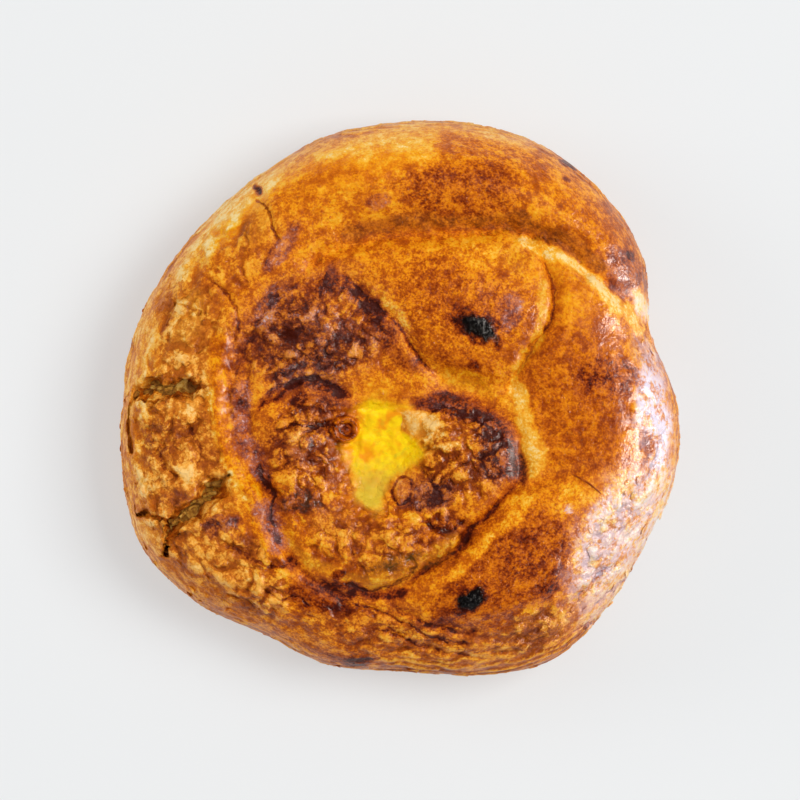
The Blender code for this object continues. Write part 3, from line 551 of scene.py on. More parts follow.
OVALS = {  # x, y, half-length, half-width, turn, then what the crust is like there
    "back, golden": ((-5, 60, 24, 10, 15), {"brown": 0.22, "speckle": 0.4}),
    "back, golden middle": ((-16, 50, 14, 9, 25), {"brown": 0.42}),
    "back, brown": ((15, 52, 18, 9, 0), {"brown": 0.66, "speckle": 0.9}),
    "back, streak": ((22, 62, 15, 3, -10), {"brown": 0.46, "speckle": 0.7}),
    "back, rim": ((27, 66.5, 14, 2.5, -14), {"brown": 0.28, "painted_sheen": 0.3}),
    "back right, golden": ((40, 48, 13, 8, -45), {"brown": 0.46, "speckle": 0.6}),
    "back right": ((51, 42, 10, 6, -55), {"brown": 0.51, "speckle": 0.6}),
    # The coil's tip gets painted lilac sheen, and its end a painted pale highlight.
    "tip of the coil": ((56.5, 31, 8, 5, -60), {"brown": 0.70, "painted_sheen": 0.85}),
    "tip of the coil, end": ((61, 23, 4.5, 2.4, -55), {"brown": 0.04, "painted_sheen": 0.3, "pale": 0.4}),
    "back left rim": ((-44, 44, 24, 5, 47), {"brown": 0.12, "dry": 0.0, "speckle": 0.3}),
    "back left": ((-36, 38, 12, 8, 50), {"brown": 0.45, "dry": 0.4}),
    "back left, mottled": ((-36, 43.5, 7, 3.6, 62), {"brown": 0.42, "dry": 0.5, "olive": 0.3}),
    "back left, burnt streak": ((-29.5, 37.5, 8, 2.2, 57), {"brown": 0.89, "painted_sheen": 0.5}),
    "left, flaky": ((-56, -6, 18, 44, 0), {"brown": 0.31, "dry": 0.9, "speckle": 0.7}),
    "left rim": ((-64, 8, 4, 34, -4), {"brown": 0.25, "dry": 0.6}),
    "left, brown patch above": ((-49, 26, 5, 4, 40), {"brown": 0.46}),
    "left, pale patch above": ((-52.5, 21, 8, 4.5, 72), {"brown": 0.22, "olive": 0.35}),
    "left, brown rim patch": ((-59, 16, 6, 2.6, 75), {"brown": 0.36}),
    "left, brown by the crack": ((-51, 10.5, 6, 4, 20), {"brown": 0.31}),
    "left, pale by the crack": ((-53.5, -2.5, 6.5, 3, 8), {"brown": 0.09}),
    "left, brown middle": ((-58, -9, 7, 6.5, 20), {"brown": 0.43, "speckle": 1.0}),
    "left, orange middle": ((-47, -8, 4, 8, 10), {"brown": 0.38}),
    "left, brown above the lower crack": ((-47, -15, 5, 3.5, 20), {"brown": 0.41}),
    "left, burnt spot": ((-55.5, -24, 3.8, 2.2, 15), {"brown": 0.45, "painted_sheen": 0.3}),
    "left, pale by the lip": ((-40, -20, 6, 3, -55), {"brown": 0.30, "dry": 0.6}),
    "front left, pale flake": ((-62.5, -33, 4.5, 4.5, 0), {"brown": 0.20, "dry": 0.9}),
    "front left": ((-46, -42, 16, 9, -38), {"brown": 0.38, "dry": 0.85}),
    "front left, burnt spot": ((-44.5, -31.5, 5, 2.3, 8), {"brown": 0.71, "painted_sheen": 0.6}),
    "front left, golden": ((-34, -50, 7, 5, 20), {"brown": 0.44, "dry": 0.8}),
    "front left, brown": ((-37, -37, 6, 3, -20), {"brown": 0.46, "dry": 0.8}),
    "front": ((-6, -60, 30, 9, -4), {"brown": 0.50, "dry": 0.45, "speckle": 0.8}),
    "front, dark glaze": ((-19, -49, 10, 4.5, -22), {"brown": 0.79, "dry": 0.05}),
    "front, bright glaze": ((-28, -39, 3.6, 4.5, 20), {"brown": 0.78, "dry": 0.05}),
    "front, golden": ((-6, -55, 8, 3, -10), {"brown": 0.54}),
    "front, layered": ((10, -62, 16, 5, -2), {"brown": 0.42, "dry": 0.5}),
    "inner left, orange": ((-39, 15, 9, 4, 72), {"brown": 0.48, "dry": 0.15}),
    "inner left, golden": ((-37, 26, 5, 2.6, 60), {"brown": 0.44}),
    "inner left, red": ((-40.5, 8, 7, 2.6, 80), {"brown": 0.61}),
    "dark fold": ((-21, 17, 20, 15, 20), {"brown": 0.65, "dry": 0.7, "speckle": 0.9, "painted_sheen": 0.3}),
    "dark fold, orange": ((-13, 21, 8, 5, -20), {"brown": 0.53, "dry": 0.3}),
    "dark fold, behind": ((-22, 28, 5, 3, 30), {"brown": 0.62, "dry": 0.3}),
    "dark fold, glaze bloom": ((-33, 22, 5.5, 2.6, 65), {"brown": 0.86, "painted_sheen": 0.75}),
    "dark fold, burnt": ((-27.5, 16, 3.0, 1.8, -5), {"brown": 0.64}),
    "dark fold, green": ((-18.5, 30, 5, 2.2, 60), {"brown": 1.00}),
    "dark fold, bloom": ((-16, 17, 5, 3, 10), {"painted_sheen": 0.75}),
    "dark fold, lower bloom": ((-23, 9, 9, 2.2, 12), {"brown": 0.72, "painted_sheen": 0.65}),
    "slit, dark": ((-18, 3.0, 3.6, 1.2, -10), {"brown": 0.84, "painted_sheen": 0.1}),
    "under the slit": ((-21, -1.0, 8, 2.8, 0), {"brown": 0.86, "dry": 0.4}),
    "knob, left": ((-22, -11, 14, 10, 0), {"brown": 0.62, "dry": 0.6, "speckle": 0.9}),
    "knob, left light": ((-24.5, -11.5, 3.6, 3.8, 0), {"brown": 0.39, "painted_sheen": 0.3}),
    "knob, left orange": ((-19, -19, 8, 4, -10), {"brown": 0.50, "dry": 0.4}),
    "knob, left burnt": ((-24, -25.5, 7.5, 3, -4), {"brown": 0.79, "olive": 0.15, "painted_sheen": 0.4}),
    "lip pit": ((-34, -20.5, 2.0, 4.0, 8), {"brown": 1.00, "dry": 0.0}),
    "knob, front left": ((-15, -31, 8, 5, -15), {"brown": 0.46, "dry": 0.6}),
    "knob, front": ((-4, -35, 14, 6, 5), {"brown": 0.50, "dry": 0.5}),
    "knob, front green": ((0, -41, 11, 3, 12), {"brown": 0.72, "olive": 0.6}),
    "knob": ((15, -13, 14, 12, -10), {"brown": 0.51, "dry": 0.5, "speckle": 1.0}),
    "knob, orange": ((14, -10, 5, 4.5, 0), {"brown": 0.44, "dry": 0.4}),
    "knob, grainy": ((6, -23, 7, 4.5, -20), {"brown": 0.80, "dry": 0.8, "painted_sheen": 0.4}),
    "knob, right": ((23, -14, 4, 7, 20), {"brown": 0.79, "painted_sheen": 0.2, "dry": 0.7}),
    "knob, low": ((11, -32, 8, 3.5, 35), {"brown": 0.63, "dry": 0.3}),
    "valley behind the knob": ((18, 3.5, 11, 2.6, -14), {"brown": 0.37, "egg": 0.35, "olive": 0.25}),
    "upper petal": ((12, 24, 20, 12, -12), {"brown": 0.57, "dry": 0.1, "speckle": 0.8}),
    "upper petal, back": ((20, 36, 12, 4, -5), {"brown": 0.38, "speckle": 0.7}),
    "upper petal, pale corner": ((29, 34, 4.5, 3.5, -30), {"brown": 0.38, "olive": 0.3}),
    "upper petal, lit lip": ((-2, 22, 9, 2.4, -50), {"brown": 0.29, "painted_sheen": 0.25}),
    "upper petal, bloom": ((27.5, 22, 3, 5, -30), {"brown": 0.72, "painted_sheen": 0.5}),
    "upper petal, golden front": ((15, 9.5, 8, 3, -10), {"brown": 0.66}),
    "right petal": ((44, 0, 16, 26, 8), {"brown": 0.59, "dry": 0.08, "speckle": 0.5}),
    "right petal, golden": ((42, 28, 12, 7, -58), {"brown": 0.42, "speckle": 0.35}),
    "right petal, brown": ((51, 6, 9, 5.5, 5), {"brown": 0.76, "speckle": 1.0}),
    "right petal, brown left": ((45, 3, 5, 3, 10), {"brown": 0.73}),
    "right petal, pale corner": ((34.5, 37, 5.5, 2.3, -42), {"brown": 0.00, "egg": 0.12}),
    # The right rim and its flakes carry a painted highlight, pale white-lilac where the glaze shines towards
    # the light, over pale flaky dough.
    "right petal, rim flakes": ((60.5, 12.5, 2.8, 6, 18), {"brown": 0.35, "dry": 0.8, "pale": 0.25}),
    "right rim": ((63.5, -6, 5, 17, 3), {"brown": 0.35, "painted_sheen": 0.4, "speckle": 1.0, "pale": 0.85}),
    "right rim, brown spot": ((61.5, -11.5, 1.6, 3.2, 5), {"brown": 0.55}),
    "lower petal": ((26, -42, 24, 12, 35), {"brown": 0.70, "dry": 0.1, "speckle": 0.75}),
    "lower petal, dark": ((35, -43, 9, 6, 60), {"brown": 0.69, "speckle": 1.0}),
    "lower petal, golden": ((46, -24, 9, 4.5, 20), {"brown": 0.31}),
    # The lower petal's right flank is pale flaky dough with a painted pale highlight and painted lilac sheen
    # on it.
    "lower petal, pale": (
        (53, -33, 19, 9.5, 60), {"brown": 0.35, "dry": 0.35, "painted_sheen": 0.4, "speckle": 1.0, "pale": 0.25}),
    "lower petal, rim": (
        (59, -34, 20, 6, 60), {"brown": 0.10, "dry": 0.8, "painted_sheen": 0.3, "speckle": 1.0, "pale": 0.5}),
    "front right, layered": ((34, -58, 13, 5, 22), {"brown": 0.42, "dry": 0.8, "speckle": 1.0}),
    "lower right flank": ((53, -47, 13, 6.5, 47), {"brown": 0.20, "dry": 0.8, "pale": 0.3, "speckle": 1.0}),
    "front right, pale flakes": ((38, -58, 4, 3, 20), {"brown": 0.44, "dry": 0.9}),
}
print(len(CRUMPLED), "crumpled places and", len(OVALS), "ovals")

# %% [markdown]
# ## Small marks
# Crumbs, burnt spots, lilac patches of painted sheen, painted highlights on the right flank and the ring
# bubble are small and crisp. They are ovals as well, but lie over everything else and have sharper edges.

# %% Small marks
SMALL_MARKS = {  # x, y, half-length, half-width, turn, then what the crust is like there
    "burnt core of the dark fold": ((-27.3, 16, 1.6, 1.0, -10), {"brown": 0.93, "dry": 0.5, "painted_sheen": 0.0}),
    "burnt streak behind the dark fold": (
        (-18.3, 30.3, 3.4, 1.2, 62), {"brown": 1.0, "dry": 0.5, "olive": 0.0}),
    "ring bubble": ((-13.5, -7.5, 3.6, 3.6, 0), {"brown": 0.54, "dry": 0.0, "rough": 0.05, "egg": 0.0}),
    "ring bubble, middle": ((-13.5, -7.5, 1.3, 1.3, 0), {"brown": 0.74}),
    "round flake": ((0.5, -22, 2.0, 3.0, 0), {"brown": 0.45, "dry": 0.7, "egg": 0.0}),
    "flap by the egg": ((5.2, -6.2, 6.5, 3.6, -20), {"brown": 0.14, "dry": 0.8, "olive": 0.2, "egg": 0.0}),
    "crumb of the seam": ((-15.3, -43.5, 1.9, 1.2, 40), {"brown": 0.86, "dry": 0.0, "olive": 0.0}),
    "front crumb": ((-11.5, -48.5, 1.2, 1.6, 0), {"brown": 1.0, "dry": 0.0}),
    "crumb of the lip": ((-30.3, -34, 1.0, 1.8, 10), {"brown": 1.0, "dry": 0.0}),
    "shadow by the knob": ((30.4, -17.5, 1.3, 4, 0), {"brown": 0.84, "dry": 0.5}),
    "lilac patch by the char": ((27.5, 21, 2.2, 4.5, -30), {"painted_sheen": 1.0}),
    "burnt rim of the front": ((-12.5, -65, 7, 1.3, -8), {"brown": 0.86, "dry": 0.4}),
    "red spot of the upper petal": ((18.3, 8, 1.9, 1.6, 0), {"brown": 0.90, "dry": 0.0}),
    "burnt spot of the lower petal": ((36.5, -47.3, 3.6, 1.8, 45), {"brown": 0.88, "dry": 0.0}),
    "lilac patch at the back left": ((-29.4, 36.6, 4.0, 2.2, 60), {"brown": 0.64, "painted_sheen": 0.85}),
    "lilac patch of the dark fold": ((-33.4, 21.6, 3.4, 2.2, 70), {"brown": 0.66, "painted_sheen": 1.0}),
    "lilac patch by the upper petal": ((-12.8, 18, 3.0, 2.2, 0), {"brown": 0.62, "painted_sheen": 1.0}),
    "lilac patch, middle": ((-20.8, 20.6, 2.4, 1.8, 0), {"brown": 0.66, "painted_sheen": 0.9}),
    "purple patch of the back": ((-5.5, 49, 3.4, 1.8, 10), {"brown": 0.66, "painted_sheen": 0.35}),
    "spot at the tip": ((57.6, 36, 1.0, 1.6, 20), {"brown": 0.88, "painted_sheen": 0.3}),
    "spot on the rim": ((42, 58.7, 2.6, 0.6, -30), {"brown": 0.82, "painted_sheen": 0.0, "speckle": 0.0}),
    "spot below it": ((41.3, 54.7, 1.3, 0.8, -10), {"brown": 0.84, "painted_sheen": 0.0, "speckle": 0.0}),
    "brown spot of the right rim": ((61.3, -11.5, 2.0, 4.4, 5), {"brown": 0.50, "pale": 0.2, "painted_sheen": 0.3}),
    "hole in the back rim": ((-35.5, 52, 0.9, 1.4, 30), {"brown": 1.0, "dry": 0.6}),
    # The pale flank is pale dry dough under a painted white-lilac highlight, and the sparkle below is a
    # painted glint.
    "pale flank": ((53.5, -33, 17.5, 8.0, 61), {"brown": 0.20, "dry": 0.6, "pale": 0.54, "speckle": 1.0}),
    "sparkle of the lower petal": ((42.2, -27.2, 0.9, 1.3, 0), {"painted_sheen": 1.0, "pale": 0.6}),
    "dark bits behind the egg": ((-15.5, 2.2, 2.6, 1.5, -20), {"brown": 0.97, "dry": 0.2}),
}
CHARRED = {  # x, y, half-length, half-width, turn: crust burnt black with a crisp edge
    "upper petal": (19, 18, 5.7, 2.6, -28),
    "lower petal": (17.5, -49.5, 3.9, 2.3, 35),
}
OPENING = (-6, -13, 13, 16, 0)  # the oval of paler dough round the egg
OPENING_LOOKS = {"brown": 0.34, "dry": 0.2, "rough": 0.55, "speckle": 0.5}
print(len(SMALL_MARKS), "small marks and", len(CHARRED), "charred spots")

# %% [markdown]
# ## Bands
# Lips, slits and rims are long and thin. Each is drawn as a band along a smooth line through a few points.

# %% Bands
BANDS = {  # points, half-width, then what the crust is like along them
    # Painted shadow: the upper petal stands higher and shades this edge of the dark fold.
    "dark fold beside the upper petal": (
        ((-15, 29), (-9.5, 24), (-6, 20), (-3, 16), (0, 12), (3, 8)), 2.2, {"brown": 0.74, "dry": 0.3}),
    # Painted shade: the coil's inner flank above the seam faces away from the light, so it is painted darker
    # and olive.
    "coil, above the seam": (
        ((-12, 41), (-3, 42.8), (6, 43.2), (16, 43.6), (26, 44), (34, 42.5), (43, 38), (50, 32.5)), 2.2,
        {"brown": 0.66, "olive": 0.3, "dry": 0.3}),
    "lip of the coil": (
        ((-44.5, 14), (-44.8, 0), (-43.2, -10), (-38.6, -17.5), (-35.8, -23.5), (-33.1, -31), (-30, -38)),
        2.6, {"brown": 0.42, "dry": 0.0, "painted_sheen": 0.0, "rough": 0.15, "speckle": 0.6}),
    "lit edge of the lip": (
        ((-47.5, 6), (-47.6, -2), (-46, -11), (-41.2, -18.6), (-38.2, -24)), 0.8,
        {"brown": 0.22, "dry": 0.3}),
    "brown streaks of the lip": (((-43.5, 12), (-42.8, 6), (-42.6, 1)), 0.9, {"brown": 0.58, "dry": 0.0}),
    # Painted shade and sheen: inside the lip the crust falls away from the light into the seam, so it is
    # painted darker with a lilac sheen.
    "inside the lip, upper": (
        ((-39.2, 3), (-39.4, -4), (-38.6, -10.5), (-34.6, -18.5)), 1.9,
        {"brown": 0.68, "painted_sheen": 0.95, "dry": 0.0}),
    "inside the lip, lower": (
        ((-34.2, -26), (-31.4, -30.5), (-29.6, -35.5)), 2.3, {"brown": 0.64, "painted_sheen": 1.0, "dry": 0.0}),
    "slit": (
        ((-35.5, -2.6), (-33, 0.4), (-29.3, 3), (-24.8, 4.4), (-19.6, 4.2), (-15.6, 3), (-12.5, 2)), 0.55,
        {"brown": 0.84, "dry": 0.0, "painted_sheen": 0.0}),
    "lip of the slit": (
        ((-30, 5), (-25, 6.6), (-19.5, 6.4), (-15, 5)), 1.1, {"brown": 0.60, "painted_sheen": 0.9}),
    "knob, dark arc": (
        ((3, -1.5), (9, -0.8), (15, -2), (22, -5.5), (27, -11), (28.2, -17)), 2.4,
        {"brown": 0.90, "painted_sheen": 0.2, "dry": 0.2}),
    # Painted shade in the crease where the knob meets the lower petal.
    "knob, front edge": (
        ((29, -20.5), (24.3, -26.2), (19.3, -31.4), (14.8, -35.8), (9.3, -40.4), (3, -44.4)), 0.9,
        {"brown": 0.68, "dry": 0.1}),
    "rim of the knob's front": (
        ((-26.5, -35), (-20.5, -41), (-14, -43.8), (-7, -44.6), (0, -43.4), (7, -39.6), (13, -35)), 1.6,
        {"brown": 0.36, "olive": 0.5, "dry": 0.2}),
    # Painted shade in the seam below the knob's front.
    "dark line under the knob": (
        ((-19, -46), (-15, -46.8), (-11, -47.2), (-6, -47.8), (0, -47)), 1.2, {"brown": 0.88, "dry": 0.0}),
    "torn edge by the egg": (
        ((1.2, -15), (4.5, -12.6), (8.3, -11.3), (13.5, -10.5)), 0.7, {"brown": 0.02, "dry": 0.8}),
    "between the petals": (
        ((36.5, 27), (36, 20), (33, 13), (29, 6)), 1.4, {"brown": 0.24, "olive": 0.4}),
    "unbaked edge of the right petal": (
        ((29, 3), (30.8, -5), (32.6, -12), (33.2, -17.5)), 2.3,
        {"brown": 0.17, "olive": 0.2, "dry": 0.3, "rough": 0.1, "speckle": 0.4}),
    "rim of the right petal": (
        ((31, 39.5), (38, 36.5), (44, 32.5), (50, 27.5), (56, 22), (60, 18)), 1.4,
        {"brown": 0.10, "dry": 0.2}),
    "lit edge of the lower petal": (
        ((31.5, -25), (27, -30), (21.3, -35.8), (15.3, -41.3), (8.5, -46)), 1.8,
        {"brown": 0.34, "dry": 0.1, "speckle": 0.7}),
}
print(len(BANDS), "bands")

# %% [markdown]
# ## Laying the regions over each other
# The crust starts out glazed all over. Each oval or band then pulls the numbers of its place towards its
# own, fully in its middle and less and less towards its edge, as thin paint does over paint. Lumps bend the
# edges, so that none of them reads as an oval. Low on the side the crust is dry and paler, at its foot it
# is browner again, and the charred blisters come last.

# %% What the crust is like at each point
OVAL_EDGE, MARK_EDGE = (0.55, 1.25), (0.75, 1.15)  # the shares of an oval's radius over which it fades
BAND_EDGE = (0.5, 1.4)  # the shares of a band's half-width over which it fades
SIDE_TOP, LOW_SIDE, FOOT = 30.0, 12.0, 3.2  # heights below which the side changes, in millimetres


def crust_looks(points):
    """What the crust is like at each point, as one array of numbers for each quality."""
    bent = np.column_stack([
        points[:, 0] + 1.6 * lumps(points, 6, 31) + 0.7 * lumps(points, 2.2, 33),
        points[:, 1] + 1.6 * lumps(points, 6, 32) + 0.7 * lumps(points, 2.2, 34),
    ])
    looks = {name: np.full(len(points), value) for name, value in GLAZED.items()}

    def lay(share, wanted):
        for name, value in wanted.items():
            looks[name] += (value - looks[name]) * share

    for place, amount in CRUMPLED.values():
        looks["rough"] = np.maximum(looks["rough"], amount * (1 - fade(oval(bent, place), 0.7, 1.2)))
    for place, wanted in OVALS.values():
        lay(1 - fade(oval(bent, place), *OVAL_EDGE), wanted)
    for line, half_width, wanted in BANDS.values():
        distance, _, _ = near_line(bent, smooth_line(line))
        lay(1 - fade(distance, half_width * BAND_EDGE[0], half_width * BAND_EDGE[1]), wanted)
    from_egg = depth_inside(bent, EGG_OUTLINE)
    lay(0.9 * (1 - fade(oval(bent, OPENING), 0.5, 1.2)), OPENING_LOOKS)
    lay(fade(from_egg, -6.5, -1.5), {"egg": 0.42, "speckle": 0.3})
    lay(fade(from_egg, -2.2, 0.8), {"egg": 0.95})
    lay(fade(from_egg, -2.5, 0.5), {"brown": 0.15, "olive": 0.0, "rough": 0.35})
    slightly_bent = points[:, :2] + 0.4 * (bent - points[:, :2])
    for place, wanted in SMALL_MARKS.values():
        lay(1 - fade(oval(slightly_bent, place), *MARK_EDGE), wanted)

    height, reach = points[:, 2], share_of_radius(points[:, :2])
    side = fade(reach, 0.9, 0.99)
    looks["rough"] *= (1 - 0.75 * fade(reach, 0.9, 0.98)) * (0.85 + 0.35 * lumps(points, 9, 35))
    lay(0.6 * side * (height < SIDE_TOP), {"dry": 0.75, "speckle": 0.8})
    lay(fade(LOW_SIDE - height, 0, 8) * side, {"brown": 0.34, "dry": 0.8})
    lay(fade(FOOT - height, 0, 2.4), {"brown": 0.66, "dry": 0.5, "speckle": 1.0, "olive": 0})
    looks["char"] = np.zeros(len(points))
    for place in CHARRED.values():
        edge = 1.0 + 0.4 * lumps(points, 1.5, 36)
        away = oval(points[:, :2], place)
        looks["char"] = np.maximum(looks["char"], 1 - fade(away, edge * 0.75, edge * 1.2))
        lay(1 - fade(away, edge, edge * 1.6), {"brown": 0.90, "painted_sheen": 0.0})
    return looks


looks = crust_looks(crust_points)
print("mean browning:", looks["brown"].mean().round(3))

# %% [markdown]
# ## Marks kept on the mesh
# Materials and modifiers can read numbers that are stored on the points of a mesh. Besides the looks, these
# are the distances to the nearest seam and crease, so that the material can draw those lines finer than the
# mesh is, how torn the crust is, where it must keep still on the floor, and where its layers show.

# %% Store the looks
FRONT_LAYERS = (24, -58, 44, 16, 18)  # the oval in which the layers reach further up
TORN_DEPTH = 3.0  # millimetres into a crack where the crust counts as fully torn


def nearest_mark(xy, marks, reach=3.0):
    """Signed distance from the nearest of some marks, in millimetres, and how dark that mark is."""
    nearest, dark = np.full(len(xy), reach), np.zeros(len(xy))
    for points, darkness in marks:
        distance, side, along = near_line(xy, smooth_line(points), reach)
        closer = distance < np.abs(nearest)
        nearest[closer] = (distance * np.sign(side))[closer]
        ends = fade(along, 0.0, 0.1) * (1 - fade(along, 0.88, 1.0))
        dark[closer] = (darkness * ends * (1 - fade(distance, 1.2, 2.2)))[closer]
    return nearest, dark


def layering(points):
    """Where sheets of pastry show as ledges: all round the side, and further up at the front right."""
    reach = share_of_radius(points[:, :2])
    front = 1 - fade(oval(points[:, :2], FRONT_LAYERS), 0.6, 1.2)
    return np.maximum(fade(reach, 0.95, 1.0) * 0.8, front * fade(reach, 0.84, 0.97))


def store(piece, name, values):
    """Keeps one number for each point on a piece's mesh, for its materials and modifiers to read."""
    layer = piece.data.attributes.new(name, "FLOAT", "POINT")
    layer.data.foreach_set("value", np.asarray(values, np.float32))


crust_xy = crust_points[:, :2]
on_top = fade(crust_points[:, 2], WIDEST_HEIGHT - 2, WIDEST_HEIGHT + 2)
seam_side, seam_dark = nearest_mark(wander(crust_xy), [(seam[0], seam[5]) for seam in SEAMS.values()])
crease_side, crease_dark = nearest_mark(wander(crust_xy, 0.6), [(c[0], c[1]) for c in CREASES.values()])
looks |= {
    "seam_side": seam_side, "seam_dark": seam_dark * on_top,
    "crease_side": crease_side, "crease_dark": crease_dark * on_top,
    "torn": np.clip(crack_opening(crust_xy)[0] / TORN_DEPTH, 0, 1) * on_top,
    "calm": 1 - fade(crust_points[:, 2], 0.2, 4),
    "layers": layering(crust_points),
}
for look_name, look_values in looks.items():
    store(crust, look_name, look_values)
print("looks stored:", ", ".join(looks))

# %% [markdown]
# ## Node trees from a script
# Both geometry and materials come from node trees here. A few helpers keep the script short: one adds a
# node and links its inputs, others do sums on numbers or positions, and one runs a geometry tree on a piece
# and keeps the result as a plain mesh.

# %% Helpers for node trees
def add_node(tree, kind, inputs=None, **settings):
    """A node with its settings, and its inputs set to values or linked to other nodes' outputs."""
    made = tree.nodes.new(kind)
    for name, value in settings.items():
        setattr(made, name, value)
    for socket, value in (inputs or {}).items():
        if isinstance(value, bpy.types.NodeSocket):
            tree.links.new(value, made.inputs[socket])
        else:
            made.inputs[socket].default_value = value
    return made


def calc(tree, operation, *values, clamp=False):
    """The result of a math node on numbers or sockets."""
    made = add_node(tree, "ShaderNodeMath", dict(enumerate(values)), operation=operation, use_clamp=clamp)
    return made.outputs[0]


def total(tree, *values, operation="ADD"):
    """The sum of several numbers or sockets."""
    result = values[0]
    for value in values[1:]:
        result = calc(tree, operation, result, value)
    return result


def product(tree, *values):
    """Several numbers or sockets multiplied together."""
    return total(tree, *values, operation="MULTIPLY")


def vector_calc(tree, operation, *values, **inputs):
    """The result of a vector math node, a number for a length and a vector for the rest."""
    made = add_node(tree, "ShaderNodeVectorMath", {**dict(enumerate(values)), **inputs}, operation=operation)
    return made.outputs["Value" if operation == "LENGTH" else "Vector"]


def between(tree, value, low, high, to_low=0.0, to_high=1.0):
    """A smooth step of a socket from one range to another."""
    made = add_node(
        tree, "ShaderNodeMapRange", {0: value, 1: low, 2: high, 3: to_low, 4: to_high},
        interpolation_type="SMOOTHSTEP")
    return made.outputs[0]


def new_tree(name, sizes):
    """A geometry node tree with named number inputs: the tree, its inputs and its output."""
    tree = bpy.data.node_groups.new(name, "GeometryNodeTree")
    tree.interface.new_socket("Geometry", in_out="INPUT", socket_type="NodeSocketGeometry")
    for label, value in sizes.items():
        kind = "NodeSocketInt" if isinstance(value, int) else "NodeSocketFloat"
        tree.interface.new_socket(label, in_out="INPUT", socket_type=kind).default_value = value
    tree.interface.new_socket("Geometry", in_out="OUTPUT", socket_type="NodeSocketGeometry")
    return tree, add_node(tree, "NodeGroupInput").outputs, add_node(tree, "NodeGroupOutput").inputs


def apply_tree(piece, tree, sizes):
    """Runs a geometry node tree on a piece with these sizes and keeps the result as its plain mesh."""
    modifier = piece.modifiers.new(tree.name, "NODES")
    modifier.node_group = tree
    for item in tree.interface.items_tree:
        if item.in_out == "INPUT" and item.name in sizes:
            modifier[item.identifier] = sizes[item.name]
    shaped = bpy.data.meshes.new_from_object(piece.evaluated_get(bpy.context.evaluated_depsgraph_get()))
    piece.modifiers.remove(modifier)
    old, piece.data = piece.data, shaped
    bpy.data.meshes.remove(old)


print("helpers for", bpy.app.version_string)

# %% [markdown]
# ## Helpers for positions
# Dough that is rolled into a rope and coiled up wrinkles along the coil, so one helper draws textures out
# in that direction. The others push points about with noise, draw random numbers and read a number that is
# stored on the mesh.

# %% Helpers for positions
DRAWN_FROM = 36 * MM  # textures are drawn out round the coil from this radius outwards
DRAWN_LEVEL = 30 * MM  # the height at which they join the ones inside it


def round_the_coil(tree, position):
    """A position that changes slowly round the coil, so that textures are drawn out along the dough."""
    flat = vector_calc(tree, "MULTIPLY", position, (1, 1, 0))
    outer = calc(tree, "MAXIMUM", vector_calc(tree, "LENGTH", flat), DRAWN_FROM)
    height = add_node(tree, "ShaderNodeSeparateXYZ", {0: position}).outputs[2]
    wider = calc(tree, "MULTIPLY_ADD", height, 0.5, DRAWN_FROM - 0.5 * DRAWN_LEVEL)
    on_circle = vector_calc(tree, "SCALE", flat, Scale=calc(tree, "DIVIDE", wider, outer))
    rise = add_node(tree, "ShaderNodeCombineXYZ", {2: outer}).outputs[0]
    return vector_calc(tree, "ADD", on_circle, rise)


def noise_push(tree, position, scale, amount):
    """A push, up to about half the amount, that changes smoothly from place to place."""
    noise = add_node(tree, "ShaderNodeTexNoise", {"Vector": position, "Scale": scale, "Detail": 2.0})
    away = vector_calc(tree, "SUBTRACT", noise.outputs["Color"], (0.5, 0.5, 0.5))
    return vector_calc(tree, "SCALE", away, Scale=amount)


def push_points(tree, geometry, scale, amount):
    """A geometry whose points are each moved by a noise push."""
    place = add_node(tree, "GeometryNodeInputPosition").outputs[0]
    push = noise_push(tree, place, scale, amount)
    return add_node(tree, "GeometryNodeSetPosition", {"Geometry": geometry, "Offset": push}).outputs[0]


def random_number(tree, low, high, seed):
    """A random number for each piece, the same every time because its seed is given."""
    made = add_node(tree, "FunctionNodeRandomValue", {2: low, 3: high, "Seed": seed}, data_type="FLOAT")
    return made.outputs[1]


def named(tree, name):
    """A number stored on the mesh, read inside a geometry node tree."""
    return add_node(tree, "GeometryNodeInputNamedAttribute", {"Name": name}, data_type="FLOAT").outputs[0]


print("textures are drawn out from a radius of", round(DRAWN_FROM / MM), "mm")

# %% [markdown]
# ## Colours and noises
# A shader wants linear colours, so each screen value is turned into one first. Ramps take the browning to a
# colour, from raw dough to burnt: one ramp for the egg glaze and one for dry flakes. The helpers make
# ramps, blends of two colours, noises of a size in millimetres and materials.

# %% Colours of the crust
def rgb(red, green, blue):
    """A colour from its screen values, 0 to 255, as the linear values that a shader takes."""
    screen = (red / 255, green / 255, blue / 255)
    return tuple(c / 12.92 if c <= 0.04045 else ((c + 0.055) / 1.055) ** 2.4 for c in screen)


GLAZE_RAMP = (
    (0.00, (248, 220, 150)), (0.12, (246, 190, 62)), (0.25, (242, 164, 8)), (0.38, (232, 137, 0)),
    (0.50, (211, 111, 0)), (0.61, (186, 88, 0)), (0.72, (161, 68, 0)), (0.83, (132, 47, 0)),
    (0.93, (101, 28, 0)), (1.00, (70, 16, 4)),
)
DRY_RAMP = (
    (0.00, (255, 204, 122)), (0.15, (250, 178, 76)), (0.30, (234, 150, 48)), (0.45, (208, 120, 28)),
    (0.60, (182, 94, 16)), (0.72, (152, 72, 12)), (0.85, (116, 46, 8)), (1.00, (70, 20, 6)),
)
EGG_YELLOW, EGG_BRIGHT = rgb(248, 194, 0), rgb(255, 218, 0)
EGG_ORANGE, EGG_GREEN, EGG_THIN = rgb(240, 152, 0), rgb(200, 182, 30), rgb(208, 176, 60)
# A painted highlight: the white-lilac shine of the glaze on the lit right side.
PAINTED_HIGHLIGHT = rgb(238, 234, 255)
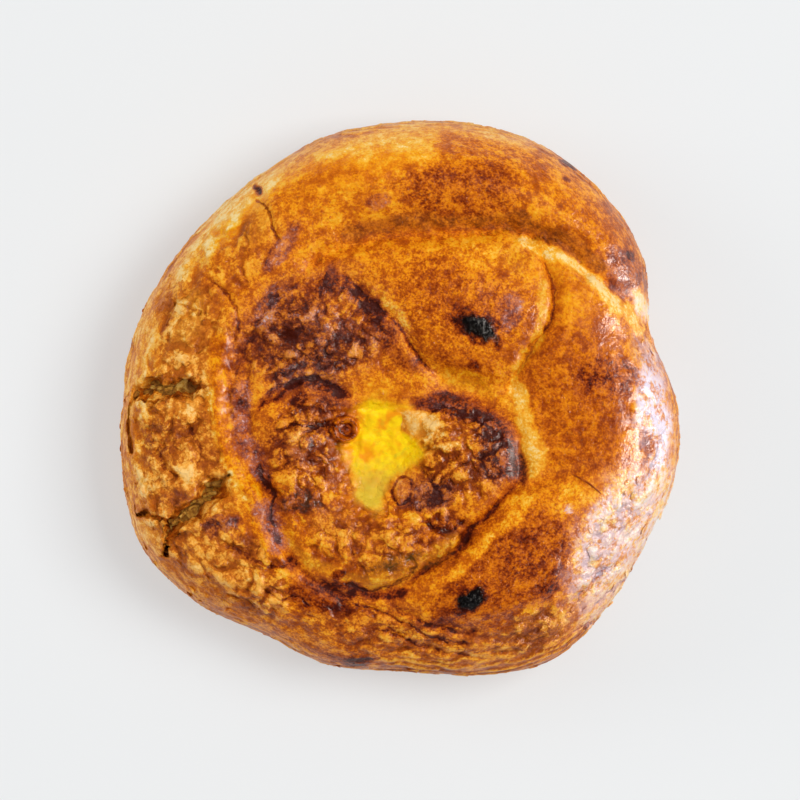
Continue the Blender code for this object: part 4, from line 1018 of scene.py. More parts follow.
# The middle colour, lilac-grey, is a painted sheen: the glaze's reflection of the light, painted on its
# lumps.
OLIVE, PAINTED_SHEEN, CHAR = rgb(164, 124, 26), rgb(212, 176, 176), rgb(8, 5, 5)
EGG_STREAKS = (  # the noise's size, detail, roughness and distortion, its range, the most it covers, colour
    (3.2, 4, 0.6, 1.2, -0.16, 0.14, 1.0, EGG_BRIGHT),
    (6.0, 3, 0.5, 0.3, -0.04, 0.14, 1.0, EGG_ORANGE),
    (3.6, 4, 0.6, 0.8, 0.06, 0.22, 0.6, EGG_GREEN),
)


def ramp(tree, factor, stops):
    """A colour ramp with any number of stops."""
    made = add_node(tree, "ShaderNodeValToRGB", {"Fac": factor})
    stops_made = made.color_ramp.elements
    while len(stops_made) < len(stops):
        stops_made.new(0.5)
    for element, (position, colour) in zip(stops_made, stops):
        element.position = position
        element.color = (*rgb(*colour), 1)
    return made.outputs[0]


def blend(tree, share, under, over):
    """Lays one colour over another by a share."""
    made = add_node(tree, "ShaderNodeMix", {0: share}, data_type="RGBA")
    for socket, colour in ((made.inputs[6], under), (made.inputs[7], over)):
        if isinstance(colour, bpy.types.NodeSocket):
            tree.links.new(colour, socket)
        else:
            socket.default_value = (*colour, 1)
    return made.outputs[2]


def grain(tree, size, detail=3.0, roughness=0.55, vector=None, **inputs):
    """Noise from -0.5 to 0.5 with lumps of that size in millimetres."""
    wanted = {"Scale": 1 / (size * MM), "Detail": detail, "Roughness": roughness, **inputs}
    wanted["Vector"] = vector or add_node(tree, "ShaderNodeTexCoord").outputs["Object"]
    return calc(tree, "SUBTRACT", add_node(tree, "ShaderNodeTexNoise", wanted).outputs[0], 0.5)


def bend_vector(tree, position, size, amount):
    """A position moved about by noise of that size in metres, by up to half that many millimetres."""
    return vector_calc(tree, "ADD", position, noise_push(tree, position, 1 / size, amount * MM))


def add_bump(tree, shader, height, distance, strength=1.0):
    """Lets a height catch the light, without moving the mesh: 1 stands for that distance."""
    bump = add_node(tree, "ShaderNodeBump", {"Height": height, "Distance": distance, "Strength": strength})
    tree.links.new(bump.outputs[0], shader.inputs["Normal"])


def attribute(tree, name):
    """A number stored on the mesh, read inside a material."""
    return add_node(tree, "ShaderNodeAttribute", attribute_name=name).outputs["Fac"]


def new_material(name, roughness, specular=0.3, coat=0.0, coat_roughness=0.1):
    """A material with a Principled shader: the material, its tree and the shader."""
    material = bpy.data.materials.new(name)
    material.use_nodes = True
    shader = material.node_tree.nodes["Principled BSDF"]
    shader.inputs["Roughness"].default_value = roughness
    shader.inputs["Specular IOR Level"].default_value = specular
    shader.inputs["Coat Weight"].default_value = coat
    shader.inputs["Coat Roughness"].default_value = coat_roughness
    return material, material.node_tree, shader


def egg_colour(tree):
    """The set egg's colour: bright yolk with orange and green streaks, thin and pale towards the front."""
    colour = EGG_YELLOW
    for size, detail, roughness, distortion, low, high, most, streak in EGG_STREAKS:
        noise = grain(tree, size, detail, roughness, Distortion=distortion)
        colour = blend(tree, between(tree, noise, low, high, 0.0, most), colour, streak)
    place = add_node(tree, "ShaderNodeTexCoord").outputs["Object"]
    forward = add_node(tree, "ShaderNodeSeparateXYZ", {0: place}).outputs[1]
    wavy = calc(tree, "ADD", forward, product(tree, grain(tree, 2.0, 3), 8 * MM))
    thin = between(tree, wavy, -22 * MM, -13 * MM, 0.75, 0.0)
    return blend(tree, thin, colour, EGG_THIN)


print("colours on the ramps:", len(GLAZE_RAMP), "glazed and", len(DRY_RAMP), "dry")

# %% [markdown]
# ## The crust's finish
# The numbers stored on the mesh come back here as marks. Where the crust is crumpled, two sizes of folds
# and patches of broken sheets are laid on it. The big folds are drawn out round the coil.

# %% The crust's material
crust_material, tree, shader = new_material("baked_puff_pastry", 0.4, 0.24, coat=0.06, coat_roughness=0.2)
marks = {name: attribute(tree, name) for name in looks}
relief_mm, ledge = attribute(tree, "relief"), attribute(tree, "ledge")

where = add_node(tree, "ShaderNodeTexCoord").outputs["Object"]
lifted = add_node(tree, "ShaderNodeCombineXYZ", {2: product(tree, relief_mm, MM)}).outputs[0]
resting = vector_calc(tree, "SUBTRACT", where, lifted)
round_coil = round_the_coil(tree, where)


def thin_line(swing, half_width):
    """A crease where a noise swings through zero: 1 on it, 0 beside it."""
    return between(tree, calc(tree, "ABSOLUTE", swing), half_width * 0.2, half_width, 1.0, 0.0)


def patches(size, warp, amount):
    """Crisp-edged patches, each with its own tone from -0.5 to 0.5, as broken sheets of pastry have."""
    bent = bend_vector(tree, bend_vector(tree, where, 3 * MM, warp), 0.8 * MM, 0.5 * warp)
    cells = add_node(tree, "ShaderNodeTexVoronoi", {"Vector": bent, "Scale": 1 / (size * MM)})
    tone = add_node(tree, "ShaderNodeSeparateColor", {0: cells.outputs["Color"]}).outputs[0]
    return product(tree, calc(tree, "SUBTRACT", tone, 0.5), amount)


def part(mark, low, amount=1.0):
    """An amount where a mark is 1, and low of it where the mark is 0."""
    return between(tree, marks[mark], 0.0, 1.0, low * amount, amount)


big_fold = thin_line(grain(tree, 5.0, 1, 0.5, round_the_coil(tree, resting), Distortion=0.3), 0.09)
small_fold = thin_line(grain(tree, 2.6, 1, 0.5, resting, Distortion=0.3), 0.09)
gaps = between(tree, grain(tree, 4.0, 2), -0.12, 0.12, 0.2, 1.0)
folds = total(tree, product(tree, big_fold, gaps, 0.32), product(tree, small_fold, 0.06), -0.05)
folded = product(tree, folds, marks["rough"])
broken_sheets = total(tree, patches(3.6, 3.0, 0.28), patches(1.5, 1.6, 0.28))
flaked = product(tree, broken_sheets, part("rough", 0.2))
print("marks read from the mesh:", len(marks))

# %% [markdown]
# ## Texture of the crust
# The glaze is never even. The texture sums cloudy patches, mottling, islands, flecks and pores, each finer
# than the last. Painted light and shade follow the relief: raised skin and the tops of the ledges are
# painted lighter, and hollows darker.

# %% Texture of the crust
cloudy = product(tree, grain(tree, 9, 3), 0.36)
islands = between(tree, grain(tree, 2.6, 4, 0.62, round_coil), -0.06, 0.12, -0.08, 0.09)
mottled = product(tree, grain(tree, 3.2, 4, 0.6), part("layers", 2.0, 0.2))
flecked = product(tree, grain(tree, 0.9, 3, 0.65, round_coil), 0.84)
pored = product(tree, grain(tree, 0.5, 1, 0.5), 0.50)
spotted = product(tree, total(tree, islands, mottled, flecked, pored), part("speckle", 0.3))
# Painted shade and light: lighter where the relief stands up or a ledge sticks out, darker in the hollows.
raised = between(tree, relief_mm, -0.8, 0.8, 0.15, -0.14)
painted_ledge_shade = product(tree, ledge, -0.32)
print("nodes so far:", len(tree.nodes))

# %% [markdown]
# ## Dark lines and browning
# Seams and creases get thin dark lines that break off here and there: painted shade in the narrow
# crevices, and the depths of the cracks are painted darker as well. A point's browning is its mark plus the
# texture plus these lines. A soft limit makes small swings of the texture stronger and holds large ones
# back, so that no point swings too far.

# %% Dark lines and browning
SEAM_SHADE, CREASE_SHADE, TORN_SHADE = 0.55, 0.45, 0.12  # how much painted shade darkens a line or a torn place
TEXTURE_GAIN, TEXTURE_KNEE = 1.6, 0.4  # small swings are made stronger and large ones are held back


def mark_line(side_name, dark_name, half_width, wobble):
    """How dark a thin crease is: full on its line and gone a little to either side of it."""
    off = calc(tree, "ABSOLUTE", calc(tree, "ADD", marks[side_name], wobble))
    return product(tree, between(tree, off, half_width * 0.3, half_width, 1.0, 0.0), marks[dark_name])


wobble = product(tree, grain(tree, 1.6, 3), 1.6)
broken = between(tree, grain(tree, 3.5, 3), -0.16, 0.10, 0.25, 1.0)
seam_line = product(tree, mark_line("seam_side", "seam_dark", 0.95, wobble), broken)
unbroken = between(tree, grain(tree, 3.5, 3), -0.26, 0.0, 0.35, 1.0)
crease_line = product(tree, mark_line("crease_side", "crease_dark", 0.5, wobble), unbroken)
texture = total(tree, cloudy, spotted, raised, painted_ledge_shade, folded, flaked)
held_back = calc(tree, "ADD", 1.0, calc(tree, "DIVIDE", calc(tree, "ABSOLUTE", texture), TEXTURE_KNEE))
texture = calc(tree, "DIVIDE", product(tree, texture, TEXTURE_GAIN), held_back)
# Painted shade: the dark lines of the seams and creases, and below, the depths of the cracks.
darker = (product(tree, seam_line, SEAM_SHADE), product(tree, crease_line, CREASE_SHADE))
browning = total(tree, marks["brown"], texture, *darker)
browning = calc(tree, "ADD", browning, product(tree, marks["torn"], TORN_SHADE), clamp=True)
print("nodes so far:", len(tree.nodes))

# %% [markdown]
# ## Colour over the browning
# The two ramps turn the browning into colour, the glaze's and the dry flakes'. Over that lie olive from the
# cabbage, a painted lilac sheen with painted glints on the tops of the lumps, a painted white-lilac
# highlight, egg and char.

# %% Colour over the browning
colour = blend(tree, marks["dry"], ramp(tree, browning, GLAZE_RAMP), ramp(tree, browning, DRY_RAMP))
olive_share = product(tree, marks["olive"], calc(tree, "ADD", 0.65, grain(tree, 4, 2)))
colour = blend(tree, product(tree, olive_share, 0.6), colour, OLIVE)
# Painted sheen and glints: lilac-grey on the tops of the lumps, brighter in small specks, where the glaze
# would mirror the light.
painted_glints = between(tree, grain(tree, 0.8, 2, 0.6), 0.02, 0.14)
on_tops = between(tree, total(tree, relief_mm, grain(tree, 2.2, 2)), -0.25, 0.45, 0.15, 1.0)
painted_sheen_share = product(tree, marks["painted_sheen"], on_tops, total(tree, 0.28, painted_glints))
colour = blend(tree, product(tree, painted_sheen_share, 0.80), colour, PAINTED_SHEEN)
# Painted highlight: speckled white-lilac where the pale mark says the glaze shines towards the light.
painted_highlight_speckles = between(tree, total(tree, grain(tree, 1.1, 3, 0.65), grain(tree, 4.0, 2)), -0.16, 0.12, 0.1, 1.0)
colour = blend(tree, product(tree, marks["pale"], painted_highlight_speckles), colour, PAINTED_HIGHLIGHT)
egg_edge = calc(tree, "ADD", marks["egg"], product(tree, grain(tree, 2.2, 3), 0.5))
colour = blend(tree, between(tree, egg_edge, 0.25, 0.95), colour, egg_colour(tree))
colour = blend(tree, marks["char"], colour, CHAR)
tree.links.new(colour, shader.inputs["Base Color"])
print("nodes so far:", len(tree.nodes))

# %% [markdown]
# ## Gloss and fine relief
# The glaze is glossy, and dry flakes and the walls of the seams are duller. Pores, skin, folds, flakes and
# creases are too fine for the mesh, so they only tilt the surface towards or away from the light.

# %% Gloss and fine relief
GLAZE_ROUGHNESS = 0.28
dullness = product(tree, marks["dry"], 0.17)
uneven = product(tree, grain(tree, 1.3, 3), 0.26)
burnt_dull = product(tree, marks["char"], -0.05)
from_seam = calc(tree, "ABSOLUTE", marks["seam_side"])
seam_dull = between(tree, from_seam, 1.0, 2.9, 0.35, 0.0)
roughness = total(tree, GLAZE_ROUGHNESS, dullness, uneven, burnt_dull, seam_dull)
tree.links.new(roughness, shader.inputs["Roughness"])

pore_height = product(tree, grain(tree, 0.8, 2, 0.6), part("rough", 0.55, 0.32))
skin_height = product(tree, grain(tree, 2.2, 4, 0.65), part("rough", 0.6, 0.48))
fold_height = product(tree, folded, -1.6)
flake_height = product(tree, flaked, 1.6)
crease_height = product(tree, calc(tree, "ADD", seam_line, crease_line), -0.35)
burnt_height = product(tree, grain(tree, 1.6, 3, 0.7), marks["char"])
height = total(tree, pore_height, skin_height, fold_height, flake_height, crease_height, burnt_height)
add_bump(tree, shader, height, MM)
print("crust material:", len(tree.nodes), "nodes")

# %% [markdown]
# ## Blisters, wrinkles and layers
# Puff pastry rises in many thin sheets. On the dry left side they blister and crumple, on the glazed lobes
# the skin is smooth with shallow dents, and round the side the sheets show as ledges. A geometry node tree
# works out how far each point moves along its normal. It sums folds, puffs, lumps, wrinkles and torn sheets
# where the crust is crumpled, dents and pimples everywhere, and ledges with gaps.

# %% Shape the crust
CRUST_RELIEF = {  # metres
    "Fold size": 4.2 * MM, "Fold height": 2.4 * MM, "Puff size": 5.0 * MM, "Puff height": 1.1 * MM,
    "Lump size": 2.6 * MM, "Lump height": 0.3 * MM, "Wrinkle size": 1.8 * MM, "Wrinkle height": 0.32 * MM,
    "Sheet size": 6.0 * MM, "Sheet height": 0.32 * MM, "Dent size": 7.0 * MM, "Dent height": 0.6 * MM,
    "Pimple size": 1.4 * MM, "Pimple height": 0.2 * MM,
    "Layer pitch": 2.9 * MM, "Layer height": 0.60 * MM,
}
SHEET_LEVELS = 12.0  # torn sheets between the noise's lowest and highest values
LAYER_WAVER = 14 * MM  # how far the layers of the side wander, from lowest to highest
tree, given, result = new_tree("Crust relief", CRUST_RELIEF)
place = add_node(tree, "GeometryNodeInputPosition").outputs[0]
drawn_out = round_the_coil(tree, place)


def lump_texture(label, position, **settings):
    """A noise texture whose lumps have the size of a named input, from -0.5 to 0.5."""
    scale = calc(tree, "DIVIDE", 1.0, given[label])
    made = add_node(tree, "ShaderNodeTexNoise", {"Vector": position, "Scale": scale, **settings})
    return calc(tree, "SUBTRACT", made.outputs[0], 0.5)


def puffs(label, height, position, **settings):
    """Rounded puffs with sharp creases between them, made from how far a noise swings from zero."""
    swing = calc(tree, "ABSOLUTE", lump_texture(label, position, **settings))
    swing = calc(tree, "SUBTRACT", calc(tree, "POWER", product(tree, swing, 4.0), 0.8), 0.45)
    return product(tree, swing, given[height])


rough, calm, layers = named(tree, "rough"), named(tree, "calm"), named(tree, "layers")
puffed = puffs("Puff size", "Puff height", drawn_out, Detail=1.0, Distortion=0.3)
lumpy = puffs("Lump size", "Lump height", place, Detail=1.0, Distortion=0.3)
fold_noise = lump_texture("Fold size", drawn_out, Detail=3.0, Roughness=0.5, Distortion=0.9)
folded_skin = product(tree, fold_noise, given["Fold height"])
wrinkled = puffs("Wrinkle size", "Wrinkle height", drawn_out, Detail=1.0, Distortion=0.3)
sheet_noise = lump_texture("Sheet size", place, Detail=3.0, Roughness=0.55, Distortion=0.5)
levels = product(tree, sheet_noise, SHEET_LEVELS)
torn_edge = between(tree, calc(tree, "FRACT", levels), 0.55, 1.0)
sheets = product(tree, calc(tree, "ADD", calc(tree, "FLOOR", levels), torn_edge), given["Sheet height"])
crumpled = product(tree, total(tree, folded_skin, puffed, lumpy, wrinkled, sheets, -0.25 * MM), rough)
dented = product(tree, lump_texture("Dent size", place, Detail=2.0), given["Dent height"])
dotted = product(tree, lump_texture("Pimple size", place, Detail=1.0), given["Pimple height"])
height = add_node(tree, "ShaderNodeSeparateXYZ", {0: place}).outputs[2]
waver = product(tree, lump_texture("Dent size", drawn_out, Detail=3.0), LAYER_WAVER)
turns = calc(tree, "DIVIDE", calc(tree, "ADD", height, waver), given["Layer pitch"])
saw = calc(tree, "POWER", calc(tree, "FRACT", turns), 2.0)
gapped = between(tree, lump_texture("Dent size", place, Detail=1.0), -0.12, 0.10, 0.25, 1.0)
ledges = product(tree, calc(tree, "SUBTRACT", saw, 0.4), product(tree, layers, gapped))
layered = product(tree, ledges, given["Layer height"])
lift = total(tree, crumpled, dented, dotted, layered)
lift = product(tree, lift, calc(tree, "SUBTRACT", 1.0, calm))
print("relief tree:", len(tree.nodes), "nodes")

# %% [markdown]
# ## Keep the shape
# The tree stores the height and the ledges on the mesh, moves the points and sets the material. Then it
# runs once on the crust, and its result replaces the crust's mesh.

# %% Keep the shape
normal = add_node(tree, "GeometryNodeInputNormal").outputs[0]
offset = vector_calc(tree, "SCALE", normal, Scale=lift)
shape = given["Geometry"]
for name, value in (("relief", calc(tree, "DIVIDE", lift, MM)), ("ledge", ledges)):
    shape = add_node(
        tree, "GeometryNodeStoreNamedAttribute", {"Geometry": shape, "Name": name, "Value": value},
        data_type="FLOAT", domain="POINT").outputs[0]
moved = add_node(tree, "GeometryNodeSetPosition", {"Geometry": shape, "Offset": offset})
whole = add_node(tree, "GeometryNodeRealizeInstances", {0: moved.outputs[0]}).outputs[0]
whole = add_node(tree, "GeometryNodeSetMaterial", {"Geometry": whole, "Material": crust_material}).outputs[0]
tree.links.new(whole, result[0])
apply_tree(crust, tree, CRUST_RELIEF)
relief = np.empty(len(crust.data.vertices), np.float32)
crust.data.attributes["relief"].data.foreach_get("value", relief)
print("relief from", relief.min().round(2), "to", relief.max().round(2), "mm")
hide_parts("pastry_coil")
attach(crust, "root")

# %% [markdown]
# ## The set egg
# Egg ran into the opening in the middle and set there. It is a thin pool: its surface follows the hollow in
# the crust and dives under it all round, so its edge is wherever the two surfaces cross, which is uneven as
# it is on the real one.

# %% The egg pool
EGG_CELLS = 72
EGG_MARGIN = 3.0  # millimetres of grid round the opening
EGG_THICKNESS = 3.0


def egg_mesh():
    """A closed pool of egg on a square grid, cut to the opening by sinking under the crust at its edge."""
    low, high = egg_line.min(0) - EGG_MARGIN, egg_line.max(0) + EGG_MARGIN
    u, v = np.meshgrid(np.linspace(0, 1, EGG_CELLS + 1), np.linspace(0, 1, EGG_CELLS + 1))
    xy = np.column_stack([u.ravel(), v.ravel()]) * (high - low) + low
    flat = np.column_stack([xy, np.zeros(len(xy))])
    bent = xy + 1.2 * np.column_stack([lumps(flat, 2.6, 41), lumps(flat, 2.6, 42)])
    inside = fade(depth_inside(bent, EGG_OUTLINE) + 0.6 * lumps(flat, 1.2, 45), -1.2, 2.8)
    top = coil_height(xy) - EGG_HOLLOW + 0.35 * lumps(flat, 3.5, 43) + 0.3 * lumps(flat, 1.5, 44)
    top += 0.35 * inside - 0.7 * (1 - inside)
    upper = np.column_stack([xy, top])
    lower = np.column_stack([xy, top - EGG_THICKNESS])
    kept = [quad for quad in grid_quads(EGG_CELLS) if inside[list(quad)].max() > 0.02]
    count = len(xy)
    sides = {}
    for quad in kept:
        for a, b in zip(quad, quad[1:] + quad[:1]):
            if (b, a) in sides:
                del sides[(b, a)]
            else:
                sides[(a, b)] = (b, a, a + count, b + count)
    faces = kept + [tuple(reversed([i + count for i in quad])) for quad in kept] + list(sides.values())
    used = sorted({i for face in faces for i in face})
    place = {old: new for new, old in enumerate(used)}
    return np.concatenate([upper, lower])[used], [tuple(place[i] for i in face) for face in faces]


egg_points, egg_faces = egg_mesh()
egg = mesh_object("set_egg_pool", egg_points, egg_faces)
egg_material, tree, shader = new_material("set_egg", 0.4, 0.25, coat=0.05, coat_roughness=0.2)
tree.links.new(egg_colour(tree), shader.inputs["Base Color"])
add_bump(tree, shader, grain(tree, 1.4, 3), 0.4 * MM, 0.7)
egg.data.materials.append(egg_material)
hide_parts("set_egg")
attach(egg, "root")
print("egg:", len(egg_points), "points")

# %% [markdown]
# ## Cabbage in the cracks
# The filling is finely cut cabbage, stewed until it is brown and soft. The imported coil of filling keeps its
# shape, because only a few millimetres of it show, and gets the stewed cabbage's finish.

# %% Finish of the cabbage
CABBAGE_RAMP = ((0.0, (112, 66, 18)), (0.45, (162, 108, 34)), (0.75, (192, 140, 50)), (1.0, (218, 176, 88)))
cabbage_material, tree, shader = new_material("stewed_cabbage", 0.45, 0.25, coat=0.1, coat_roughness=0.2)
strand = add_node(tree, "ShaderNodeTexCoord").outputs["Object"]
tone = between(tree, grain(tree, 2.4, 4, 0.6, strand, Distortion=1.5), -0.2, 0.2)
tree.links.new(ramp(tree, tone, CABBAGE_RAMP), shader.inputs["Base Color"])
add_bump(tree, shader, grain(tree, 0.8, 3, 0.6, strand, Distortion=2.0), 0.5 * MM, 0.8)
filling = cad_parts["cabbage_filling"]
for material_slot in filling.material_slots:
    material_slot.material = cabbage_material
print("cabbage material on", filling.name)

# %% [markdown]
# ## Loose shreds
# Loose shreds lie in the cracks over the filling. A mesh of single points marks where each one goes.
# Geometry nodes put a strip on each point, turn it along the crack, and bend them all with one noise, so
# that no two are alike.

# %% Shreds of cabbage
SHREDS = {
    "Length": 5.0 * MM, "Width": 1.5 * MM, "Thickness": 0.25 * MM,
    "Bend": 1.4 * MM, "Bend size": 3.4 * MM, "Seed": 5,
}
SHRED_SPACING = 2.6  # millimetres along the crack from one shred to the next
SHRED_DEPTH = 5.2  # millimetres below the crust where they lie
FIRST_SHRED, LAST_SHRED = 2.2, 2.5  # millimetres of crack left free at its start and end


def shred_points():
    """Points along the cracks where shreds lie, with the direction of the crack at each."""
    spots, turns = [], []
    draw = np.random.default_rng(SHREDS["Seed"])
    for name in ("upper crack", "lower crack"):
        points, half_widths, _, _ = CRACKS[name]
        line = smooth_line([(*p, w) for p, w in zip(points, half_widths)], 8)
        travelled = np.concatenate([[0], np.cumsum(np.linalg.norm(np.diff(line[:, :2], axis=0), axis=1))])
        for stop in np.arange(FIRST_SHRED, travelled[-1] - LAST_SHRED, SHRED_SPACING):
            i = min(np.searchsorted(travelled, stop), len(line) - 2)
            run = line[i + 1, :2] - line[i, :2]
            turn = math.atan2(run[1], run[0])
            aside = draw.uniform(-0.45, 0.45) * line[i, 2]
            spot = line[i, :2] + aside * np.array([-math.sin(turn), math.cos(turn)])
            height = coil_height(spot[None])[0] - SHRED_DEPTH + draw.uniform(-0.9, 0.9)
            spots.append((*spot, height))
            turns.append(turn + draw.uniform(-0.9, 0.9))
    return np.array(spots), np.array(turns)


shred_spots, shred_turns = shred_points()
shreds = mesh_object("cabbage_shreds", shred_spots, [])
store(shreds, "turn", shred_turns)
tree, given, result = new_tree("Cabbage shreds", SHREDS)
half = product(tree, given["Length"], 0.5)
start = add_node(tree, "ShaderNodeCombineXYZ", {0: product(tree, half, -1.0)}).outputs[0]
end = add_node(tree, "ShaderNodeCombineXYZ", {0: half}).outputs[0]
spine = add_node(tree, "GeometryNodeCurvePrimitiveLine", {"Start": start, "End": end}).outputs[0]
spine = add_node(tree, "GeometryNodeResampleCurve", {"Curve": spine, "Count": 12}).outputs[0]
profile = add_node(
    tree, "GeometryNodeCurvePrimitiveQuadrilateral", {"Width": given["Width"], "Height": given["Thickness"]})
strip = add_node(
    tree, "GeometryNodeCurveToMesh",
    {"Curve": spine, "Profile Curve": profile.outputs[0], "Fill Caps": True})
points = add_node(tree, "GeometryNodeMeshToPoints", {"Mesh": given["Geometry"]}).outputs[0]
roll = random_number(tree, -0.7, 0.7, given["Seed"])
pitch = random_number(tree, -0.3, 0.3, calc(tree, "ADD", given["Seed"], 1))
euler = add_node(tree, "ShaderNodeCombineXYZ", {0: roll, 1: pitch, 2: named(tree, "turn")}).outputs[0]
turned = add_node(tree, "FunctionNodeEulerToRotation", {0: euler}).outputs[0]
size = random_number(tree, 0.6, 1.15, calc(tree, "ADD", given["Seed"], 2))
laid = add_node(
    tree, "GeometryNodeInstanceOnPoints",
    {"Points": points, "Instance": strip.outputs[0], "Rotation": turned, "Scale": size})
whole = add_node(tree, "GeometryNodeRealizeInstances", {0: laid.outputs[0]}).outputs[0]
whole = push_points(tree, whole, calc(tree, "DIVIDE", 1.0, given["Bend size"]), given["Bend"])
whole = add_node(tree, "GeometryNodeSetMaterial", {"Geometry": whole, "Material": cabbage_material})
tree.links.new(whole.outputs[0], result[0])
apply_tree(shreds, tree, SHREDS)
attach(shreds, "root")
print("shreds:", len(shred_spots), "strips,", len(shreds.data.polygons), "faces")

# %% [markdown]
# ## Loose flakes
# Baked puff pastry sheds: thin flakes lie wherever the crust is dry, though not in the cracks or on the
# floor. Each is a flat rounded chip. Geometry nodes scatter them, lay each one along the surface with a
# small tilt, and roughen their outlines with noise.

# %% Scatter the flakes
FLAKES = {"Spacing": 2.6 * MM, "Chip size": 1.5 * MM, "Chip thickness": 0.11, "Ragged": 0.9 * MM, "Seed": 9}
MOST_FLAKES = 90000.0  # per square metre, where the crust is fully dry
RAGGED_SIZE = 1.6 * MM
flakes = bpy.data.objects.new("pastry_flakes", crust.data.copy())
bpy.context.scene.collection.objects.link(flakes)
tree, given, result = new_tree("Pastry flakes", FLAKES)
off_floor = calc(tree, "SUBTRACT", 1.0, named(tree, "calm"))
off_cracks = calc(tree, "SUBTRACT", 1.0, named(tree, "torn"))
wanted = product(tree, between(tree, named(tree, "dry"), 0.45, 0.85), off_floor, off_cracks)
scattered = add_node(
    tree, "GeometryNodeDistributePointsOnFaces",
    {"Mesh": given["Geometry"], "Distance Min": given["Spacing"], "Density Max": MOST_FLAKES,
     "Density Factor": wanted, "Seed": given["Seed"]}, distribute_method="POISSON")
ball = add_node(tree, "GeometryNodeMeshIcoSphere", {"Radius": given["Chip size"], "Subdivisions": 2})
flat_size = add_node(tree, "ShaderNodeCombineXYZ", {0: 1.0, 1: 0.7, 2: given["Chip thickness"]}).outputs[0]
chip = add_node(tree, "GeometryNodeTransform", {"Geometry": ball.outputs[0], "Scale": flat_size}).outputs[0]
lean = add_node(
    tree, "FunctionNodeRandomValue", {0: (-0.28, -0.28, -3.1), 1: (0.28, 0.28, 3.1), "Seed": given["Seed"]},
    data_type="FLOAT_VECTOR").outputs[0]
lean = add_node(tree, "FunctionNodeEulerToRotation", {0: lean}).outputs[0]
turned = add_node(
    tree, "FunctionNodeRotateRotation", {"Rotation": scattered.outputs["Rotation"], "Rotate By": lean},
    rotation_space="LOCAL").outputs[0]
size = random_number(tree, 0.35, 1.2, calc(tree, "ADD", given["Seed"], 1))
laid = add_node(
    tree, "GeometryNodeInstanceOnPoints",
    {"Points": scattered.outputs[0], "Instance": chip, "Rotation": turned, "Scale": size})
whole = add_node(tree, "GeometryNodeRealizeInstances", {0: laid.outputs[0]}).outputs[0]
whole = push_points(tree, whole, 1 / RAGGED_SIZE, given["Ragged"])
whole = add_node(tree, "GeometryNodeSetMaterial", {"Geometry": whole, "Material": crust_material}).outputs[0]
tree.links.new(whole, result[0])
apply_tree(flakes, tree, FLAKES)
flakes.data.shade_smooth()
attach(flakes, "root")
print("flakes:", len(flakes.data.polygons), "faces")

# %% [markdown]
# ## A burnt thread
# A thin burnt thread of cabbage lies on the right. It is a fine tube along a few points, each lifted to the
# crust's own height, and thinner towards both ends.

# %% The thread
THREAD_LINE = ((42.6, -18.4), (44.2, -19.3), (46.2, -20.4), (48.2, -21.9), (49.8, -23.3))
THREAD_RADIUS, THREAD_SIDES = 0.22, 6
THREAD_LIFT = 0.25  # millimetres from the crust to the middle of the thread
THREAD_RAMP = ((0.0, (140, 56, 10)), (1.0, (186, 92, 24)))


def thread_mesh():
    """A closed tube that lies on the crust along the thread's line, in millimetres."""
    line = smooth_line(THREAD_LINE, 4)
    height = coil_height(line) + fine_features(line) + THREAD_LIFT
    runs = np.gradient(line, axis=0)
    across = np.column_stack([-runs[:, 1], runs[:, 0]]) / np.linalg.norm(runs, axis=1)[:, None]
    thick = THREAD_RADIUS * np.sin(np.linspace(0.25, math.pi - 0.25, len(line))) ** 0.5
    points, faces = [], []
    for i in range(len(line)):
        for k in range(THREAD_SIDES):
            turn = 2 * math.pi * k / THREAD_SIDES
            spot = line[i] + across[i] * thick[i] * math.cos(turn)
            points.append((*spot, height[i] + thick[i] * math.sin(turn)))
    for i in range(len(line) - 1):
        for k in range(THREAD_SIDES):
            a, b = i * THREAD_SIDES + k, i * THREAD_SIDES + (k + 1) % THREAD_SIDES
            faces.append((a, b, b + THREAD_SIDES, a + THREAD_SIDES))
    faces.append(tuple(reversed(range(THREAD_SIDES))))
    faces.append(tuple(range(len(points) - THREAD_SIDES, len(points))))
    return points, faces


thread_points, thread_faces = thread_mesh()
thread = mesh_object("burnt_thread", thread_points, thread_faces)
thread_material, tree, shader = new_material("burnt_thread", 0.6, 0.2)
tone = between(tree, grain(tree, 1.5, 2), -0.2, 0.2)
tree.links.new(ramp(tree, tone, THREAD_RAMP), shader.inputs["Base Color"])
thread.data.materials.append(thread_material)
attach(thread, "root")
print("thread:", len(thread_points), "points")

# %% [markdown]
# ## The ground
# The photo looks straight down at the pie on a pale ground. A square far larger than the photo stands for
# it. It glows a little, which keeps the pie's shadow on it faint.

# %% Floor
FLOOR_REACH = 3.0  # metres from the middle to each edge
FLOOR_GLOW = 0.445
corners = [(x * FLOOR_REACH, y * FLOOR_REACH, 0) for x, y in ((-1, -1), (1, -1), (1, 1), (-1, 1))]
floor_mesh = bpy.data.meshes.new("floor")
floor_mesh.from_pydata(corners, [], [(0, 1, 2, 3)])
floor = bpy.data.objects.new("floor", floor_mesh)
bpy.context.scene.collection.objects.link(floor)
floor_material, tree, shader = new_material("pale_ground", 0.9, 0.0)
shader.inputs["Base Color"].default_value = (0.37, 0.385, 0.395, 1)
shader.inputs["Emission Color"].default_value = (1, 1, 1, 1)
shader.inputs["Emission Strength"].default_value = FLOOR_GLOW
floor.data.materials.append(floor_material)
print("floor:", 2 * FLOOR_REACH, "m wide")

# %% [markdown]
# ## Daylight
# Daylight comes from a window on the right: a large light brightens the right flank and throws a short soft
# shadow to the left, and a pale wall on the left throws some of it back. Neither is seen in reflections.
# Two small lights are seen only there: a low glint that the glaze mirrors on the right edge, and a small
# high sparkle. The sky fills the rest, and isn't reflected either.

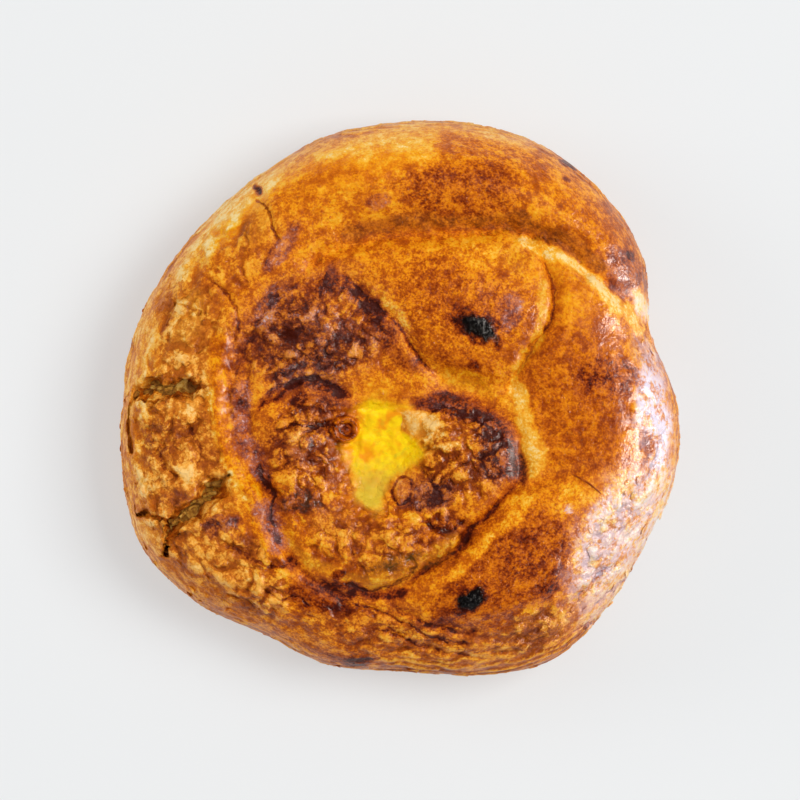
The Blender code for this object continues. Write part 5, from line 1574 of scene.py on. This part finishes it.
# %% Lights
AIM = Vector((0, 0, 0.02))  # the lights face this point, in the middle of the pie
LIGHTS = {  # azimuth, elevation, distance and size in metres, brightness, colour, only in reflections or not
    "window_light": (14, 54, 3.0, 1.6, 8.5, (1.0, 0.98, 0.95), False),
    "window_glint": (-6, 12, 0.8, 0.30, 62.0, (1.0, 0.92, 0.84), True),
    "wall_bounce": (165, 22, 3.0, 1.6, 3.6, (1.0, 0.96, 0.90), False),
    "window_sparkle": (40, 66, 1.5, 0.10, 50.0, (1.0, 0.93, 0.86), True),
}


def area_light(name, azimuth, elevation, distance, size, radiance, colour):
    """A square light that faces the pie from two angles in degrees, set by its surface's brightness."""
    light = bpy.data.lights.new(name, "AREA")
    light.size = size
    light.energy = radiance * math.pi * size**2
    light.color = colour
    lamp = bpy.data.objects.new(name, light)
    around, up = math.radians(azimuth), math.radians(elevation)
    level = math.cos(up)
    spot = Vector((math.cos(around) * level, math.sin(around) * level, math.sin(up))) * distance
    lamp.location = spot + AIM
    lamp.rotation_euler = spot.to_track_quat("Z", "Y").to_euler()
    bpy.context.scene.collection.objects.link(lamp)
    return lamp


for light_name, (*measures, only_reflected) in LIGHTS.items():
    lamp = area_light(light_name, *measures)
    lamp.visible_glossy = only_reflected
    lamp.visible_diffuse = not only_reflected

world = bpy.data.worlds.new("daylight")
bpy.context.scene.world = world
world.use_nodes = True
world.cycles_visibility.glossy = False
sky = world.node_tree.nodes["Background"]
sky.inputs["Color"].default_value = (0.95, 0.97, 1.0, 1)
sky.inputs["Strength"].default_value = 0.46
bpy.context.scene.view_settings.view_transform = "Standard"
print("lights:", ", ".join(LIGHTS), "and the sky")

# %% [markdown]
# ## The camera
# The camera looks straight down, as the photo does. A long lens from far away keeps the perspective weak,
# and the camera's height follows from how much of the scene the photo shows.

# %% Camera
PHOTO_WIDTH = 200.7 * MM  # how much of the scene the photo shows at the height of the pie's widest ring
LENS, SENSOR = 300.0, 36.0
camera_data = bpy.data.cameras.new("camera")
camera_data.lens = LENS
camera_data.sensor_width = SENSOR
camera = bpy.data.objects.new("camera", camera_data)
bpy.context.scene.collection.objects.link(camera)
camera.location = (0, 0, WIDEST_HEIGHT * MM + PHOTO_WIDTH * LENS / SENSOR)
bpy.context.scene.camera = camera
print("camera", round(camera.location.z, 3), "m above the floor, looking straight down")
